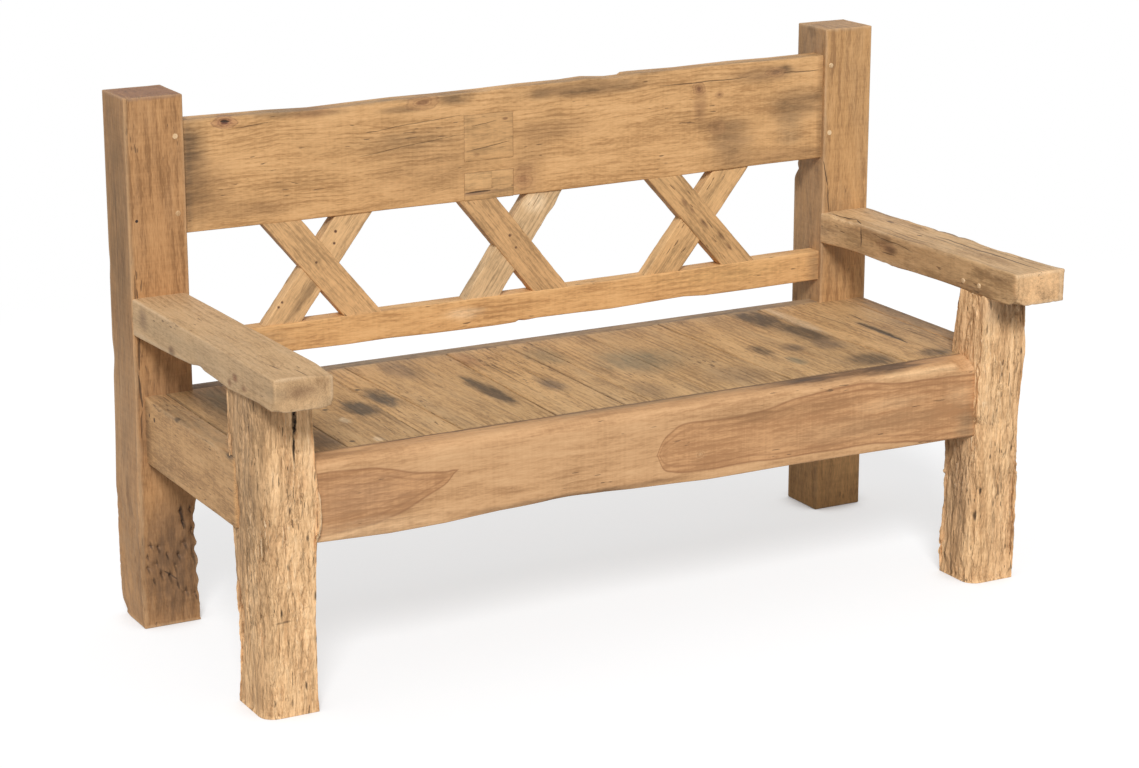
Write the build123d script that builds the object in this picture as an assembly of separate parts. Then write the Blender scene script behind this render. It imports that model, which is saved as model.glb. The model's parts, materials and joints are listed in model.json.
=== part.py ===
from build123d import *
import math
import os

# Reclaimed timber settle with a panelled, cross braced back.
# X runs along the seat, Y runs from the front to the back, Z is up.
# The origin is on the floor, under the middle of the overall box. Lengths are in millimetres.

# Overall size
overall_length = 1524.0
overall_depth = 690.0
right_arm_splay = 22.0

# Back posts
left_post_width = 104.0
right_post_width = 102.0
left_post_depth = 103.0
right_post_depth = 97.0
left_post_height = 941.0
right_post_height = 953.0
post_edge_bevel = 2.0
post_top_bevel = 3.0

# Joinery
joint_clearance = 0.5
shoulder = 8.0
cut_overrun = 6.0

# Crest board, whose upper edge is uneven
panel_setback = 9.0
crest_thickness = 36.0
crest_left_width = 196.0
crest_right_width = 199.0
left_post_above_crest = 47.0
right_post_above_crest = 49.5
crest_place_shares = (0.0, 0.20, 0.30, 0.39, 0.50, 0.62, 0.655, 0.665, 0.85, 1.0)
crest_rises = (0.0, -5.9, -2.8, -3.2, -1.2, 0.1, -3.2, 0.7, 0.9, 0.0)
crest_tenon_length = 60.0
crest_tenon_thickness = 18.0
crest_tenon_inset = 22.0
crest_tenon_top_inset = 9.0

# Pegs that lock the crest board's tenons in the posts
peg_diameter = 10.5
peg_clearance = 0.15
peg_proud = 0.4
crest_peg_length = 62.0
left_crest_peg_inset = 15.5
right_crest_peg_inset = 11.0
left_crest_peg_drops = (24.0, 157.0)
right_crest_peg_drops = (19.5, 148.5)

# Repairs let into the crest board
inlay_depth = 9.0
inlay_gap = 0.4
inlay_left = 533.0
inlay_width = 99.0
upper_inlay_rise = 70.1
upper_inlay_height = 84.0
lower_inlay_height = 45.1
small_inlay_width = 55.0
small_inlay_height = 32.0

# Lower back rail
lower_rail_thickness = 36.0
lower_rail_left_top = 515.0
lower_rail_right_top = 521.5
lower_rail_left_width = 51.5
lower_rail_right_width = 56.0
lower_rail_tenon_length = 50.0
lower_rail_tenon_thickness = 16.0

# Cross slats, whose ends are placed as shares of the length between the posts
slat_width = 54.0
wide_slat_width = 59.0
slat_thickness = 27.0
slat_setback = 1.5
slat_proud = 2.0
lap_clearance = 0.3
slat_tenon_width = 34.0
slat_tenon_thickness = 12.0
slat_tenon_length = 16.0
front_slat_top_shares = (0.1400, 0.4336, 0.7323)
front_slat_bottom_shares = (0.2542, 0.5455, 0.8561)
rear_slat_top_shares = (0.2450, 0.5394, 0.8438)
rear_slat_bottom_shares = (0.1377, 0.4410, 0.7315)
cross_names = ("left", "middle", "right")
front_slat_widths = (slat_width, slat_width, slat_width)
rear_slat_widths = (slat_width, slat_width, wide_slat_width)

# Seat
seat_height = 422.0
plank_thickness = 24.0
plank_gap = 1.5
plank_notch_clearance = 1.0
plank_end_gap = 0.5
front_joint_shares = (
    0.1046, 0.2021, 0.2534, 0.3352, 0.3772, 0.4320, 0.4712,
    0.5082, 0.5957, 0.7117, 0.8199, 0.8868, 0.9495,
)
rear_joint_shares = (
    0.1032, 0.2100, 0.2420, 0.3295, 0.3858, 0.4441, 0.4726,
    0.5025, 0.5865, 0.7011, 0.8064, 0.8598, 0.9310,
)
bearer_thickness = 30.0
bearer_height = 42.0

# Rails round the seat
seat_rail_height = 120.0
rear_rail_thickness = 31.0
side_rail_thickness = 39.0
left_side_rail_inset = 15.0
right_side_rail_inset = 5.0
rail_tenon_length = 36.0
rail_tenon_thickness = 16.0

# Front rail, a slab with a natural lower edge and a rounded upper front edge
front_rail_behind_arm_end = 100.0
front_rail_thickness = 50.0
front_rail_height = 143.0
front_rail_top_flat = 28.0
front_rail_shoulder_drop = 10.0
front_rail_shoulder_out = 15.0
front_rail_face_drop = 26.0
front_rail_foot_rise = 20.0
front_rail_foot_in = 6.0
underside_place_shares = (0.0, 0.10, 0.18, 0.26, 0.335, 0.41, 0.49, 0.57, 0.68, 0.80, 0.88, 1.0)
underside_rises = (8.0, 4.0, 6.0, 11.0, 14.0, 13.0, 8.0, 4.0, 5.0, 4.0, 2.0, 0.0)
front_rail_tenon_length = 42.0
front_rail_tenon_thickness = 20.0
front_rail_tenon_inset = 24.0

# Armrests
arm_top = 597.0
arm_width = 100.0
arm_leg_thickness = 56.0
left_arm_turn_in = 12.0
arm_corner_bevel = 8.0
left_arm_place_shares = (0.0, 0.30, 0.50, 0.63, 0.87, 1.0)
left_arm_thicknesses = (61.0, 57.0, 52.0, arm_leg_thickness, arm_leg_thickness, 54.0)
right_arm_place_shares = (0.0, 0.22, 0.48, 0.66, 0.87, 1.0)
right_arm_thicknesses = (55.0, 59.0, 57.0, arm_leg_thickness, arm_leg_thickness, 57.0)
arm_tenon_length = 45.0
arm_tenon_width = 60.0
arm_tenon_height = 26.0

# Front legs, hewn so that each section differs a little
leg_heights = (0.0, 160.0, 345.0, 440.0)
left_leg_width = 100.0
left_leg_outset = 16.0
left_leg_depth = 106.0
left_leg_front = 93.0
left_leg_inner_swells = (0.0, 0.0, 8.0, 1.0, -1.0)
left_leg_outer_swells = (0.0, -3.0, -1.0, -1.0, 2.0)
left_leg_front_swells = (0.0, -2.0, 3.0, 2.0, 0.0)
left_leg_back_swells = (0.0, -3.0, 9.0, 9.0, 9.0)
left_leg_corner = 30.0
right_leg_width = 95.0
right_leg_inset = 1.0
right_leg_depth = 94.0
right_leg_front = 82.0
right_leg_inner_swells = (0.0, 2.0, 1.0, -3.0, -11.0)
right_leg_outer_swells = (2.0, 5.0, 3.0, 10.0, 5.0)
right_leg_front_swells = (0.0, -2.0, -2.0, 0.0, -2.0)
right_leg_back_swells = (0.0, -3.0, -1.0, -4.0, -11.0)
right_leg_corner = 18.0
leg_edge_bevel = 4.0
leg_tenon_width = 48.0
leg_tenon_depth = 74.0
leg_tenon_height = 34.0

# Pegs that lock the legs' tenons in the arms
arm_peg_length = 76.0
arm_peg_rise = 16.0
arm_peg_spacing = 46.0

# Derived places along X
left_face = -overall_length / 2
right_face = overall_length / 2 - right_arm_splay
left_inner = left_face + left_post_width
right_inner = right_face - right_post_width
back_length = right_inner - left_inner
left_rail_outer = left_face + left_side_rail_inset
left_rail_inner = left_rail_outer + side_rail_thickness
right_rail_outer = right_face - right_side_rail_inset
right_rail_inner = right_rail_outer - side_rail_thickness
left_leg_outer = left_face + left_leg_outset
left_leg_inner = left_leg_outer + left_leg_width
right_leg_outer = right_face - right_leg_inset
right_leg_inner = right_leg_outer - right_leg_width

# Derived places along Y
back_face = overall_depth / 2
arm_front = -overall_depth / 2
post_front = back_face - left_post_depth
panel_front = post_front + panel_setback
rear_rail_back = panel_front + rear_rail_thickness
front_rail_front = arm_front + front_rail_behind_arm_end
front_rail_back = front_rail_front + front_rail_thickness
arm_length = post_front - arm_front
left_leg_front_face = arm_front + left_leg_front
left_leg_back_face = left_leg_front_face + left_leg_depth
right_leg_front_face = arm_front + right_leg_front
right_leg_back_face = right_leg_front_face + right_leg_depth

# Derived heights
plank_bottom = seat_height - plank_thickness
seat_rail_bottom = seat_height - seat_rail_height
front_rail_bottom = seat_height - front_rail_height
leg_top = arm_top - arm_leg_thickness
crest_left_top = left_post_height - left_post_above_crest
crest_right_top = right_post_height - right_post_above_crest
crest_left_bottom = crest_left_top - crest_left_width
crest_right_bottom = crest_right_top - crest_right_width


def block(x0, x1, y0, y1, z0, z1):
    size = Box(abs(x1 - x0), abs(y1 - y0), abs(z1 - z0))
    return Pos((x0 + x1) / 2, (y0 + y1) / 2, (z0 + z1) / 2) * size


def grown(extents, clearance):
    x0, x1, y0, y1, z0, z1 = extents
    low = (min(x0, x1) - clearance, min(y0, y1) - clearance, min(z0, z1) - clearance)
    high = (max(x0, x1) + clearance, max(y0, y1) + clearance, max(z0, z1) + clearance)
    return block(low[0], high[0], low[1], high[1], low[2], high[2])


def prism_along_y(points, y0, y1):
    outline = make_face(Polyline(*[(x, y0, z) for x, z in points], close=True))
    return extrude(outline, amount=y1 - y0, dir=(0, 1, 0))


def prism_along_x(points, x0, x1):
    outline = make_face(Polyline(*[(x0, y, z) for y, z in points], close=True))
    return extrude(outline, amount=x1 - x0, dir=(1, 0, 0))


def prism_along_z(points, z0, z1):
    outline = make_face(Polyline(*[(x, y, z0) for x, y in points], close=True))
    return extrude(outline, amount=z1 - z0, dir=(0, 0, 1))


def between(a, b, share):
    return a + (b - a) * share


def along_back(share):
    return between(left_inner, right_inner, share)


# Heights of the crest board's lower edge and of the lower rail's edges at a place along X

def crest_bottom_at(x):
    return between(crest_left_bottom, crest_right_bottom, (x - left_inner) / back_length)


def lower_rail_top_at(x):
    return between(lower_rail_left_top, lower_rail_right_top, (x - left_inner) / back_length)


# Tenons, each as the extents of its box. side is -1 at the left end and 1 at the right end

def end_tenon(side, length, y0, y1, z0, z1):
    start = left_inner if side < 0 else right_inner
    return (start - side * cut_overrun, start + side * length, y0, y1, z0, z1)


def crest_tenon(side):
    y0 = panel_front + (crest_thickness - crest_tenon_thickness) / 2
    z0 = (crest_left_bottom if side < 0 else crest_right_bottom) + crest_tenon_inset
    z1 = (crest_left_top if side < 0 else crest_right_top) - crest_tenon_top_inset
    return end_tenon(side, crest_tenon_length, y0, y0 + crest_tenon_thickness, z0, z1)


def lower_rail_tenon(side):
    y0 = panel_front + (lower_rail_thickness - lower_rail_tenon_thickness) / 2
    z0 = lower_rail_right_top - lower_rail_right_width + shoulder
    z1 = lower_rail_left_top - shoulder
    y1 = y0 + lower_rail_tenon_thickness
    return end_tenon(side, lower_rail_tenon_length, y0, y1, z0, z1)


def rear_rail_tenon(side):
    y0 = panel_front + (rear_rail_thickness - rail_tenon_thickness) / 2
    z0 = seat_rail_bottom + shoulder
    z1 = seat_height - shoulder
    return end_tenon(side, rail_tenon_length, y0, y0 + rail_tenon_thickness, z0, z1)


def side_rail_middle(side):
    if side < 0:
        return (left_rail_outer + left_rail_inner) / 2
    return (right_rail_outer + right_rail_inner) / 2


def leg_back_at_rail(side):
    if side < 0:
        return left_leg_back_face
    return right_leg_back_face


def side_rail_tenon(side, end):
    middle = side_rail_middle(side)
    half = rail_tenon_thickness / 2
    z0 = seat_rail_bottom + shoulder
    z1 = seat_height - shoulder
    if end == "back":
        y0 = post_front - cut_overrun
        y1 = post_front + rail_tenon_length
    else:
        y0 = leg_back_at_rail(side) - rail_tenon_length
        y1 = leg_back_at_rail(side) + 2 * cut_overrun
    return (middle - half, middle + half, y0, y1, z0, z1)


def arm_tenon(side):
    middle = (left_face + left_inner) / 2 if side < 0 else (right_inner + right_face) / 2
    half = arm_tenon_width / 2
    z1 = arm_top - (right_arm_thicknesses[0] - arm_tenon_height) / 2
    z0 = z1 - arm_tenon_height
    y1 = post_front + arm_tenon_length
    return (middle - half, middle + half, post_front - cut_overrun, y1, z0, z1)


def front_rail_tenon(side):
    y0 = (front_rail_front + front_rail_back - front_rail_tenon_thickness) / 2
    y1 = y0 + front_rail_tenon_thickness
    z0 = front_rail_bottom + front_rail_tenon_inset
    z1 = seat_height - front_rail_tenon_inset
    start = left_leg_inner if side < 0 else right_leg_inner
    stop = start + side * front_rail_tenon_length
    return (start - side * 3 * cut_overrun, stop, y0, y1, z0, z1)


def leg_middle(side):
    if side < 0:
        return (left_leg_outer + left_leg_inner) / 2, (left_leg_front_face + left_leg_back_face) / 2
    return (right_leg_outer + right_leg_inner) / 2, (right_leg_front_face + right_leg_back_face) / 2


def leg_tenon(side):
    x, y = leg_middle(side)
    half_width = leg_tenon_width / 2
    half_depth = leg_tenon_depth / 2
    z0 = leg_top - cut_overrun
    return (x - half_width, x + half_width, y - half_depth, y + half_depth, z0, leg_top + leg_tenon_height)


# Armrests

def arm_plan(side):
    turn = left_arm_turn_in if side < 0 else right_arm_splay
    outer = left_face if side < 0 else right_face
    inner = outer - side * arm_width
    return ((outer, post_front), (outer + turn, arm_front), (inner + turn, arm_front), (inner, post_front))


def arm_inner_at(side, y):
    plan = arm_plan(side)
    share = (post_front - y) / arm_length
    return between(plan[3][0], plan[2][0], share)


def arm_side_outline(side):
    places = left_arm_place_shares if side < 0 else right_arm_place_shares
    thicknesses = left_arm_thicknesses if side < 0 else right_arm_thicknesses
    points = [(post_front, arm_top), (arm_front, arm_top)]
    for place, thickness in reversed(list(zip(places, thicknesses))):
        points.append((between(post_front, arm_front, place), arm_top - thickness))
    return points


def arm_pegs(side):
    pegs = []
    x, y = leg_middle(side)
    for step in (-1, 1):
        peg_y = y + step * arm_peg_spacing / 2
        start = arm_inner_at(side, peg_y) - side * peg_proud
        pegs.append((start, peg_y, leg_top + arm_peg_rise))
    return pegs


def arm_peg(side, start, y, z, extra):
    radius = peg_diameter / 2 + extra
    length = arm_peg_length
    middle = start + side * length / 2
    return Pos(middle, y, z) * Rot(0, 90, 0) * Cylinder(radius, length)


def armrest(side):
    low = min(x for x, y in arm_plan(side)) - cut_overrun
    high = max(x for x, y in arm_plan(side)) + cut_overrun
    body = prism_along_x(arm_side_outline(side), low, high)
    body &= prism_along_z(arm_plan(side), leg_top - arm_leg_thickness, arm_top)
    front_edges = body.edges().group_by(Axis.Y)[0].group_by(Axis.Z)[0]
    body = chamfer(front_edges, arm_corner_bevel / 2)
    body += block(*arm_tenon(side))
    body -= grown(leg_tenon(side), joint_clearance)
    for start, y, z in arm_pegs(side):
        body -= arm_peg(side, start, y, z, peg_clearance)
    return body


# Front legs: a stack of sections with bevelled corners, joined by flat faces

def leg_section(x_inner, x_outer, y_front, y_back, z, corners):
    x_sign = 1 if x_outer > x_inner else -1
    front_inner, front_outer, back_outer, back_inner = corners
    points = [
        (x_inner, y_front + front_inner),
        (x_inner + x_sign * front_inner, y_front),
        (x_outer - x_sign * front_outer, y_front),
        (x_outer, y_front + front_outer),
        (x_outer, y_back - back_outer),
        (x_outer - x_sign * back_outer, y_back),
        (x_inner + x_sign * back_inner, y_back),
        (x_inner, y_back - back_inner),
    ]
    return make_face(Polyline(*[(x, y, z) for x, y in points], close=True))


def leg_body(side):
    if side < 0:
        inner, outer = left_leg_inner, left_leg_outer
        front, back = left_leg_front_face, left_leg_back_face
        inner_swells, outer_swells = left_leg_inner_swells, left_leg_outer_swells
        front_swells, back_swells = left_leg_front_swells, left_leg_back_swells
        corners = (leg_edge_bevel, left_leg_corner, leg_edge_bevel, leg_edge_bevel)
    else:
        inner, outer = right_leg_inner, right_leg_outer
        front, back = right_leg_front_face, right_leg_back_face
        inner_swells, outer_swells = right_leg_inner_swells, right_leg_outer_swells
        front_swells, back_swells = right_leg_front_swells, right_leg_back_swells
        corners = (right_leg_corner, leg_edge_bevel, leg_edge_bevel, leg_edge_bevel)
    sections = []
    for index, height in enumerate((*leg_heights, leg_top)):
        x_inner = inner - side * inner_swells[index]
        x_outer = outer + side * outer_swells[index]
        y_front = front - front_swells[index]
        y_back = back + back_swells[index]
        sections.append(leg_section(x_inner, x_outer, y_front, y_back, height, corners))
    return loft(sections, ruled=True)


def front_leg(side):
    body = leg_body(side)
    body += block(*leg_tenon(side))
    body -= grown(front_rail_tenon(side), joint_clearance)
    body -= grown(side_rail_tenon(side, "front"), joint_clearance)
    for start, y, z in arm_pegs(side):
        body -= arm_peg(side, start, y, z, peg_clearance)
    return body


# Back posts

def crest_peg(x, z, extra):
    radius = peg_diameter / 2 + extra
    middle = post_front - peg_proud + crest_peg_length / 2
    return Pos(x, middle, z) * Rot(90, 0, 0) * Cylinder(radius, crest_peg_length)


def crest_peg_places(side):
    if side < 0:
        return [(left_inner - left_crest_peg_inset, crest_left_top - drop) for drop in left_crest_peg_drops]
    return [(right_inner + right_crest_peg_inset, crest_right_top - drop) for drop in right_crest_peg_drops]


def back_post(side):
    x0, x1 = (left_face, left_inner) if side < 0 else (right_inner, right_face)
    height = left_post_height if side < 0 else right_post_height
    depth = left_post_depth if side < 0 else right_post_depth
    body = block(x0, x1, post_front, post_front + depth, 0, height)
    body = chamfer(body.edges().filter_by(Axis.Z), post_edge_bevel)
    body = chamfer(body.edges().group_by(Axis.Z)[-1], post_top_bevel)
    body -= grown(crest_tenon(side), joint_clearance)
    body -= grown(lower_rail_tenon(side), joint_clearance)
    body -= grown(rear_rail_tenon(side), joint_clearance)
    body -= grown(side_rail_tenon(side, "back"), joint_clearance)
    body -= grown(arm_tenon(side), joint_clearance)
    for x, z in crest_peg_places(side):
        body -= crest_peg(x, z, peg_clearance)
    return body


# Crest board and its let in repairs

def crest_blank():
    points = [(left_inner, crest_left_bottom), (right_inner, crest_right_bottom)]
    for place, rise in reversed(list(zip(crest_place_shares, crest_rises))):
        points.append((along_back(place), between(crest_left_top, crest_right_top, place) + rise))
    return prism_along_y(points, panel_front, panel_front + crest_thickness)


def inlay_box(x0, x1, z0, z1, gap):
    return block(x0 - gap, x1 + gap, panel_front - gap, panel_front + inlay_depth, z0 - gap, z1 + gap)


def inlay_base():
    return crest_bottom_at(left_inner + inlay_left + inlay_width / 2)


def upper_inlay(gap):
    x0 = left_inner + inlay_left
    z0 = inlay_base() + upper_inlay_rise
    return inlay_box(x0, x0 + inlay_width, z0, z0 + upper_inlay_height, gap)


def lower_inlay(gap):
    x0 = left_inner + inlay_left
    x1 = x0 + inlay_width
    z0 = min(crest_bottom_at(x0), crest_bottom_at(x1)) - cut_overrun
    return inlay_box(x0, x1, z0, inlay_base() + lower_inlay_height, gap)


def small_inlay(gap):
    x0 = left_inner + inlay_left
    z1 = inlay_base() + lower_inlay_height
    return inlay_box(x0, x0 + small_inlay_width, z1 - small_inlay_height, z1, gap)


def crest_rail():
    body = crest_blank()
    for side in (-1, 1):
        body += block(*crest_tenon(side))
        for x, z in crest_peg_places(side):
            body -= crest_peg(x, z, peg_clearance)
    body -= upper_inlay(inlay_gap)
    body -= lower_inlay(inlay_gap)
    for extents in slat_tenons("top"):
        body -= grown(extents, joint_clearance)
    return body


def crest_inlay_upper():
    return upper_inlay(0)


def crest_inlay_lower():
    body = lower_inlay(0) & crest_blank()
    return body - small_inlay(inlay_gap)


# Lower back rail

def lower_rail_blank():
    points = [
        (left_inner, lower_rail_left_top - lower_rail_left_width),
        (right_inner, lower_rail_right_top - lower_rail_right_width),
        (right_inner, lower_rail_right_top),
        (left_inner, lower_rail_left_top),
    ]
    return prism_along_y(points, panel_front, panel_front + lower_rail_thickness)


def lower_back_rail():
    body = lower_rail_blank()
    for side in (-1, 1):
        body += block(*lower_rail_tenon(side))
    for extents in slat_tenons("bottom"):
        body -= grown(extents, joint_clearance)
    return body


# Cross slats, half lapped where they cross

def slat_line(index, layer):
    if layer == "front":
        top, bottom = front_slat_top_shares[index], front_slat_bottom_shares[index]
    else:
        top, bottom = rear_slat_top_shares[index], rear_slat_bottom_shares[index]
    x_top, x_bottom = along_back(top), along_back(bottom)
    return x_top, crest_bottom_at(x_top), x_bottom, lower_rail_top_at(x_bottom)


def slat_outline(index, layer, extra):
    widths = front_slat_widths if layer == "front" else rear_slat_widths
    x_top, z_top, x_bottom, z_bottom = slat_line(index, layer)
    run, rise = x_top - x_bottom, z_top - z_bottom
    half = (widths[index] / 2 + extra) * math.hypot(run, rise) / rise
    spare = 2 * cut_overrun
    x_high, z_high = x_top + run * spare / rise, z_top + spare
    x_low, z_low = x_bottom - run * spare / rise, z_bottom - spare
    return [(x_low - half, z_low), (x_low + half, z_low), (x_high + half, z_high), (x_high - half, z_high)]


def slat_front(layer):
    proud = 0 if layer == "front" else slat_proud
    return panel_front + slat_setback + proud


def slat_tenon(index, layer, end):
    x_top, z_top, x_bottom, z_bottom = slat_line(index, layer)
    half_width = slat_tenon_width / 2
    y0 = slat_front(layer) + (slat_thickness - slat_tenon_thickness) / 2
    y1 = y0 + slat_tenon_thickness
    if end == "top":
        z0, z1 = z_top - cut_overrun, z_top + slat_tenon_length
        return (x_top - half_width, x_top + half_width, y0, y1, z0, z1)
    z0, z1 = z_bottom - slat_tenon_length, z_bottom + cut_overrun
    return (x_bottom - half_width, x_bottom + half_width, y0, y1, z0, z1)


def slat_tenons(end):
    return [slat_tenon(i, layer, end) for i in range(len(cross_names)) for layer in ("front", "rear")]


def cross_slat(index, layer):
    y0 = slat_front(layer)
    y1 = y0 + slat_thickness
    lap = slat_front("front") + slat_thickness / 2
    body = prism_along_y(slat_outline(index, layer, 0), y0, y1)
    body -= crest_blank()
    body -= lower_rail_blank()
    if layer == "front":
        body -= prism_along_y(slat_outline(index, "rear", lap_clearance), lap, y1 + cut_overrun)
    else:
        body -= prism_along_y(slat_outline(index, "front", lap_clearance), y0 - cut_overrun, lap)
    low_limit = lower_rail_blank().bounding_box().min.Z
    high_limit = crest_blank().bounding_box().max.Z
    span = block(left_inner, right_inner, post_front, back_face, low_limit, high_limit)
    body = (body & span).solids().sort_by(SortBy.VOLUME)[-1]
    body = Part() + body
    for end in ("top", "bottom"):
        body += block(*slat_tenon(index, layer, end))
    return body


# Rails round the seat

def rear_seat_rail():
    body = block(left_inner, right_inner, panel_front, rear_rail_back, seat_rail_bottom, seat_height)
    for side in (-1, 1):
        body += block(*rear_rail_tenon(side))
    return body


def side_rail(side):
    x0 = left_rail_outer if side < 0 else right_rail_inner
    front = leg_back_at_rail(side) - cut_overrun
    body = block(x0, x0 + side_rail_thickness, front, post_front, seat_rail_bottom, seat_height)
    body += block(*side_rail_tenon(side, "back"))
    body -= leg_body(side)
    body = Part() + body.solids().sort_by(SortBy.VOLUME)[-1]
    body += block(*side_rail_tenon(side, "front"))
    return body


def front_rail_section():
    front, back = front_rail_front, front_rail_back
    flat = back - front_rail_top_flat
    return [
        (back, front_rail_bottom - cut_overrun),
        (back, seat_height),
        (flat, seat_height),
        (flat - front_rail_shoulder_out, seat_height - front_rail_shoulder_drop),
        (front, seat_height - front_rail_face_drop),
        (front, front_rail_bottom + front_rail_foot_rise),
        (front + front_rail_foot_in, front_rail_bottom),
        (front + front_rail_foot_in, front_rail_bottom - cut_overrun),
    ]


def front_rail_outline():
    start, stop = left_leg_inner - 2 * cut_overrun, right_leg_inner + 2 * cut_overrun
    points = [(stop, seat_height), (start, seat_height)]
    for place, rise in zip(underside_place_shares, underside_rises):
        points.append((between(start, stop, place), front_rail_bottom + rise))
    return points


def front_seat_rail():
    start, stop = left_leg_inner - 2 * cut_overrun, right_leg_inner + 2 * cut_overrun
    body = prism_along_x(front_rail_section(), start, stop)
    body &= prism_along_y(front_rail_outline(), front_rail_front - cut_overrun, front_rail_back + cut_overrun)
    for side in (-1, 1):
        body -= leg_body(side)
    body = Part() + body.solids().sort_by(SortBy.VOLUME)[-1]
    for side in (-1, 1):
        body += block(*front_rail_tenon(side))
    return body


# Bearers under the planks

def front_seat_bearer():
    y0 = front_rail_back
    z0 = plank_bottom - bearer_height
    start, stop = left_leg_inner - 2 * cut_overrun, right_leg_inner + 2 * cut_overrun
    body = block(start, stop, y0, y0 + bearer_thickness, z0, plank_bottom)
    for side in (-1, 1):
        body -= leg_body(side)
    return Part() + body.solids().sort_by(SortBy.VOLUME)[-1]


def rear_seat_bearer():
    y0 = panel_front - bearer_thickness
    return block(left_inner, right_inner, y0, panel_front, plank_bottom - bearer_height, plank_bottom)


# Seat planks, laid from front to back and notched round the posts and legs

def seat_plank(index):
    front_shares = (0.0, *front_joint_shares, 1.0)
    rear_shares = (0.0, *rear_joint_shares, 1.0)
    last = len(front_shares) - 2
    left_gap = 0 if index == 0 else plank_gap / 2
    right_gap = 0 if index == last else plank_gap / 2
    y0, y1 = front_rail_back + plank_end_gap, panel_front
    corners = [
        (between(left_rail_inner, right_rail_inner, front_shares[index]) + left_gap, y0),
        (between(left_rail_inner, right_rail_inner, front_shares[index + 1]) - right_gap, y0),
        (between(left_rail_inner, right_rail_inner, rear_shares[index + 1]) - right_gap, y1),
        (between(left_rail_inner, right_rail_inner, rear_shares[index]) + left_gap, y1),
    ]
    body = prism_along_z(corners, plank_bottom, seat_height)
    for side in (-1, 1):
        x0, x1 = (left_face, left_inner) if side < 0 else (right_inner, right_face)
        post = (x0, x1, post_front, back_face, plank_bottom, seat_height)
        body -= grown(post, plank_notch_clearance)
        leg = leg_body(side).bounding_box()
        x0, x1 = leg.min.X, leg.max.X
        y0, y1 = leg.min.Y, leg.max.Y
        body -= grown((x0, x1, y0, y1, plank_bottom, seat_height), plank_notch_clearance)
    return body


def crest_pegs():
    pegs = []
    for side in (-1, 1):
        pegs += [crest_peg(x, z, 0) for x, z in crest_peg_places(side)]
    return Compound(children=pegs)


def armrest_pegs():
    pegs = []
    for side in (-1, 1):
        pegs += [arm_peg(side, start, y, z, 0) for start, y, z in arm_pegs(side)]
    return Compound(children=pegs)


pieces = {
    "left_back_post": back_post(-1),
    "right_back_post": back_post(1),
    "left_front_leg": front_leg(-1),
    "right_front_leg": front_leg(1),
    "left_armrest": armrest(-1),
    "right_armrest": armrest(1),
    "crest_rail": crest_rail(),
    "crest_inlay_upper": crest_inlay_upper(),
    "crest_inlay_lower": crest_inlay_lower(),
    "crest_inlay_small": small_inlay(0),
    "crest_pegs": crest_pegs(),
    "lower_back_rail": lower_back_rail(),
    "front_seat_rail": front_seat_rail(),
    "rear_seat_rail": rear_seat_rail(),
    "left_side_rail": side_rail(-1),
    "right_side_rail": side_rail(1),
    "front_seat_bearer": front_seat_bearer(),
    "rear_seat_bearer": rear_seat_bearer(),
    "armrest_pegs": armrest_pegs(),
}

for number, name in enumerate(cross_names):
    pieces[f"{name}_cross_front_slat"] = cross_slat(number, "front")
    pieces[f"{name}_cross_rear_slat"] = cross_slat(number, "rear")

for number in range(len(front_joint_shares) + 1):
    pieces[f"seat_plank_{number + 1:02d}"] = seat_plank(number)

os.makedirs("parts", exist_ok=True)
for name, piece in pieces.items():
    export_step(piece, f"parts/{name}.step")
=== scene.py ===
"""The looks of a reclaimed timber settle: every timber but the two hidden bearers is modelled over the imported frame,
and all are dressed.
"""

import json
import logging
import math
from dataclasses import dataclass
from enum import Enum
from typing import Callable, Iterable, Sequence

import bmesh
import bpy
from mathutils import Euler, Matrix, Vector, noise

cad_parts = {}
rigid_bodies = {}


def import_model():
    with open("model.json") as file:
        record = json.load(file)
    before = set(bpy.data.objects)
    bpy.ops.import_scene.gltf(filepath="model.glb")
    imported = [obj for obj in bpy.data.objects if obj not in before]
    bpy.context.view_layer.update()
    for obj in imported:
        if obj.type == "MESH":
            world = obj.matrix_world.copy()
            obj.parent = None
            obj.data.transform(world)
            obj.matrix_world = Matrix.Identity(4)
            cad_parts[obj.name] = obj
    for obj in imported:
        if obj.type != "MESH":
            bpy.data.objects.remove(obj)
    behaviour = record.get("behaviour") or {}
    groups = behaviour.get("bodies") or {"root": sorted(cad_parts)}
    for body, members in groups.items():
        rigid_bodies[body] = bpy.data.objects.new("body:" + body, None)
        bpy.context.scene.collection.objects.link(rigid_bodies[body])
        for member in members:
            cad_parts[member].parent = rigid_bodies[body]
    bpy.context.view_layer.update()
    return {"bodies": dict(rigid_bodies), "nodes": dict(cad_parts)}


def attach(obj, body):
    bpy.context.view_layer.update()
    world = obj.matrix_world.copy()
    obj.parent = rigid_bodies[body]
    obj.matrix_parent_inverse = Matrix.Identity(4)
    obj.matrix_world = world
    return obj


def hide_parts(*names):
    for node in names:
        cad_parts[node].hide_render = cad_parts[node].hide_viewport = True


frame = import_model()

LOG = logging.getLogger("settle")
MM = 0.001
# How near a slice a vertex has to be to lie on it, and how high the roughening starts over the floor.
NEAR, CLEAR = 2e-4, 0.006
# The angles over which an edge is bevelled, and over which it is shaded sharp.
SHARP_EDGE, SHARP_SHADE = math.radians(50), math.radians(40)
WHITE = (1, 1, 1, 1)
BODY = next(iter(frame["bodies"]))

Point = tuple[float, float, float]
Colour = tuple[float, float, float]
Profile = Sequence[tuple[float, float]]
Pick = Callable[[Vector], bool]


class Axis(Enum):
    """An axis of the settle's frame."""

    X = 0
    Y = 1
    Z = 2


class Face(Enum):
    """The low or the high side of a blank along an axis."""

    LOW = -1
    HIGH = 1


class Side(Enum):
    """One end of the settle, as the camera sees it."""

    LEFT = -1
    RIGHT = 1


class Weave(Enum):
    """The legacy textures that roughen a surface."""

    CLOUDS = "CLOUDS"
    PLATES = "VORONOI"
    RIDGES = "MUSGRAVE"


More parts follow.
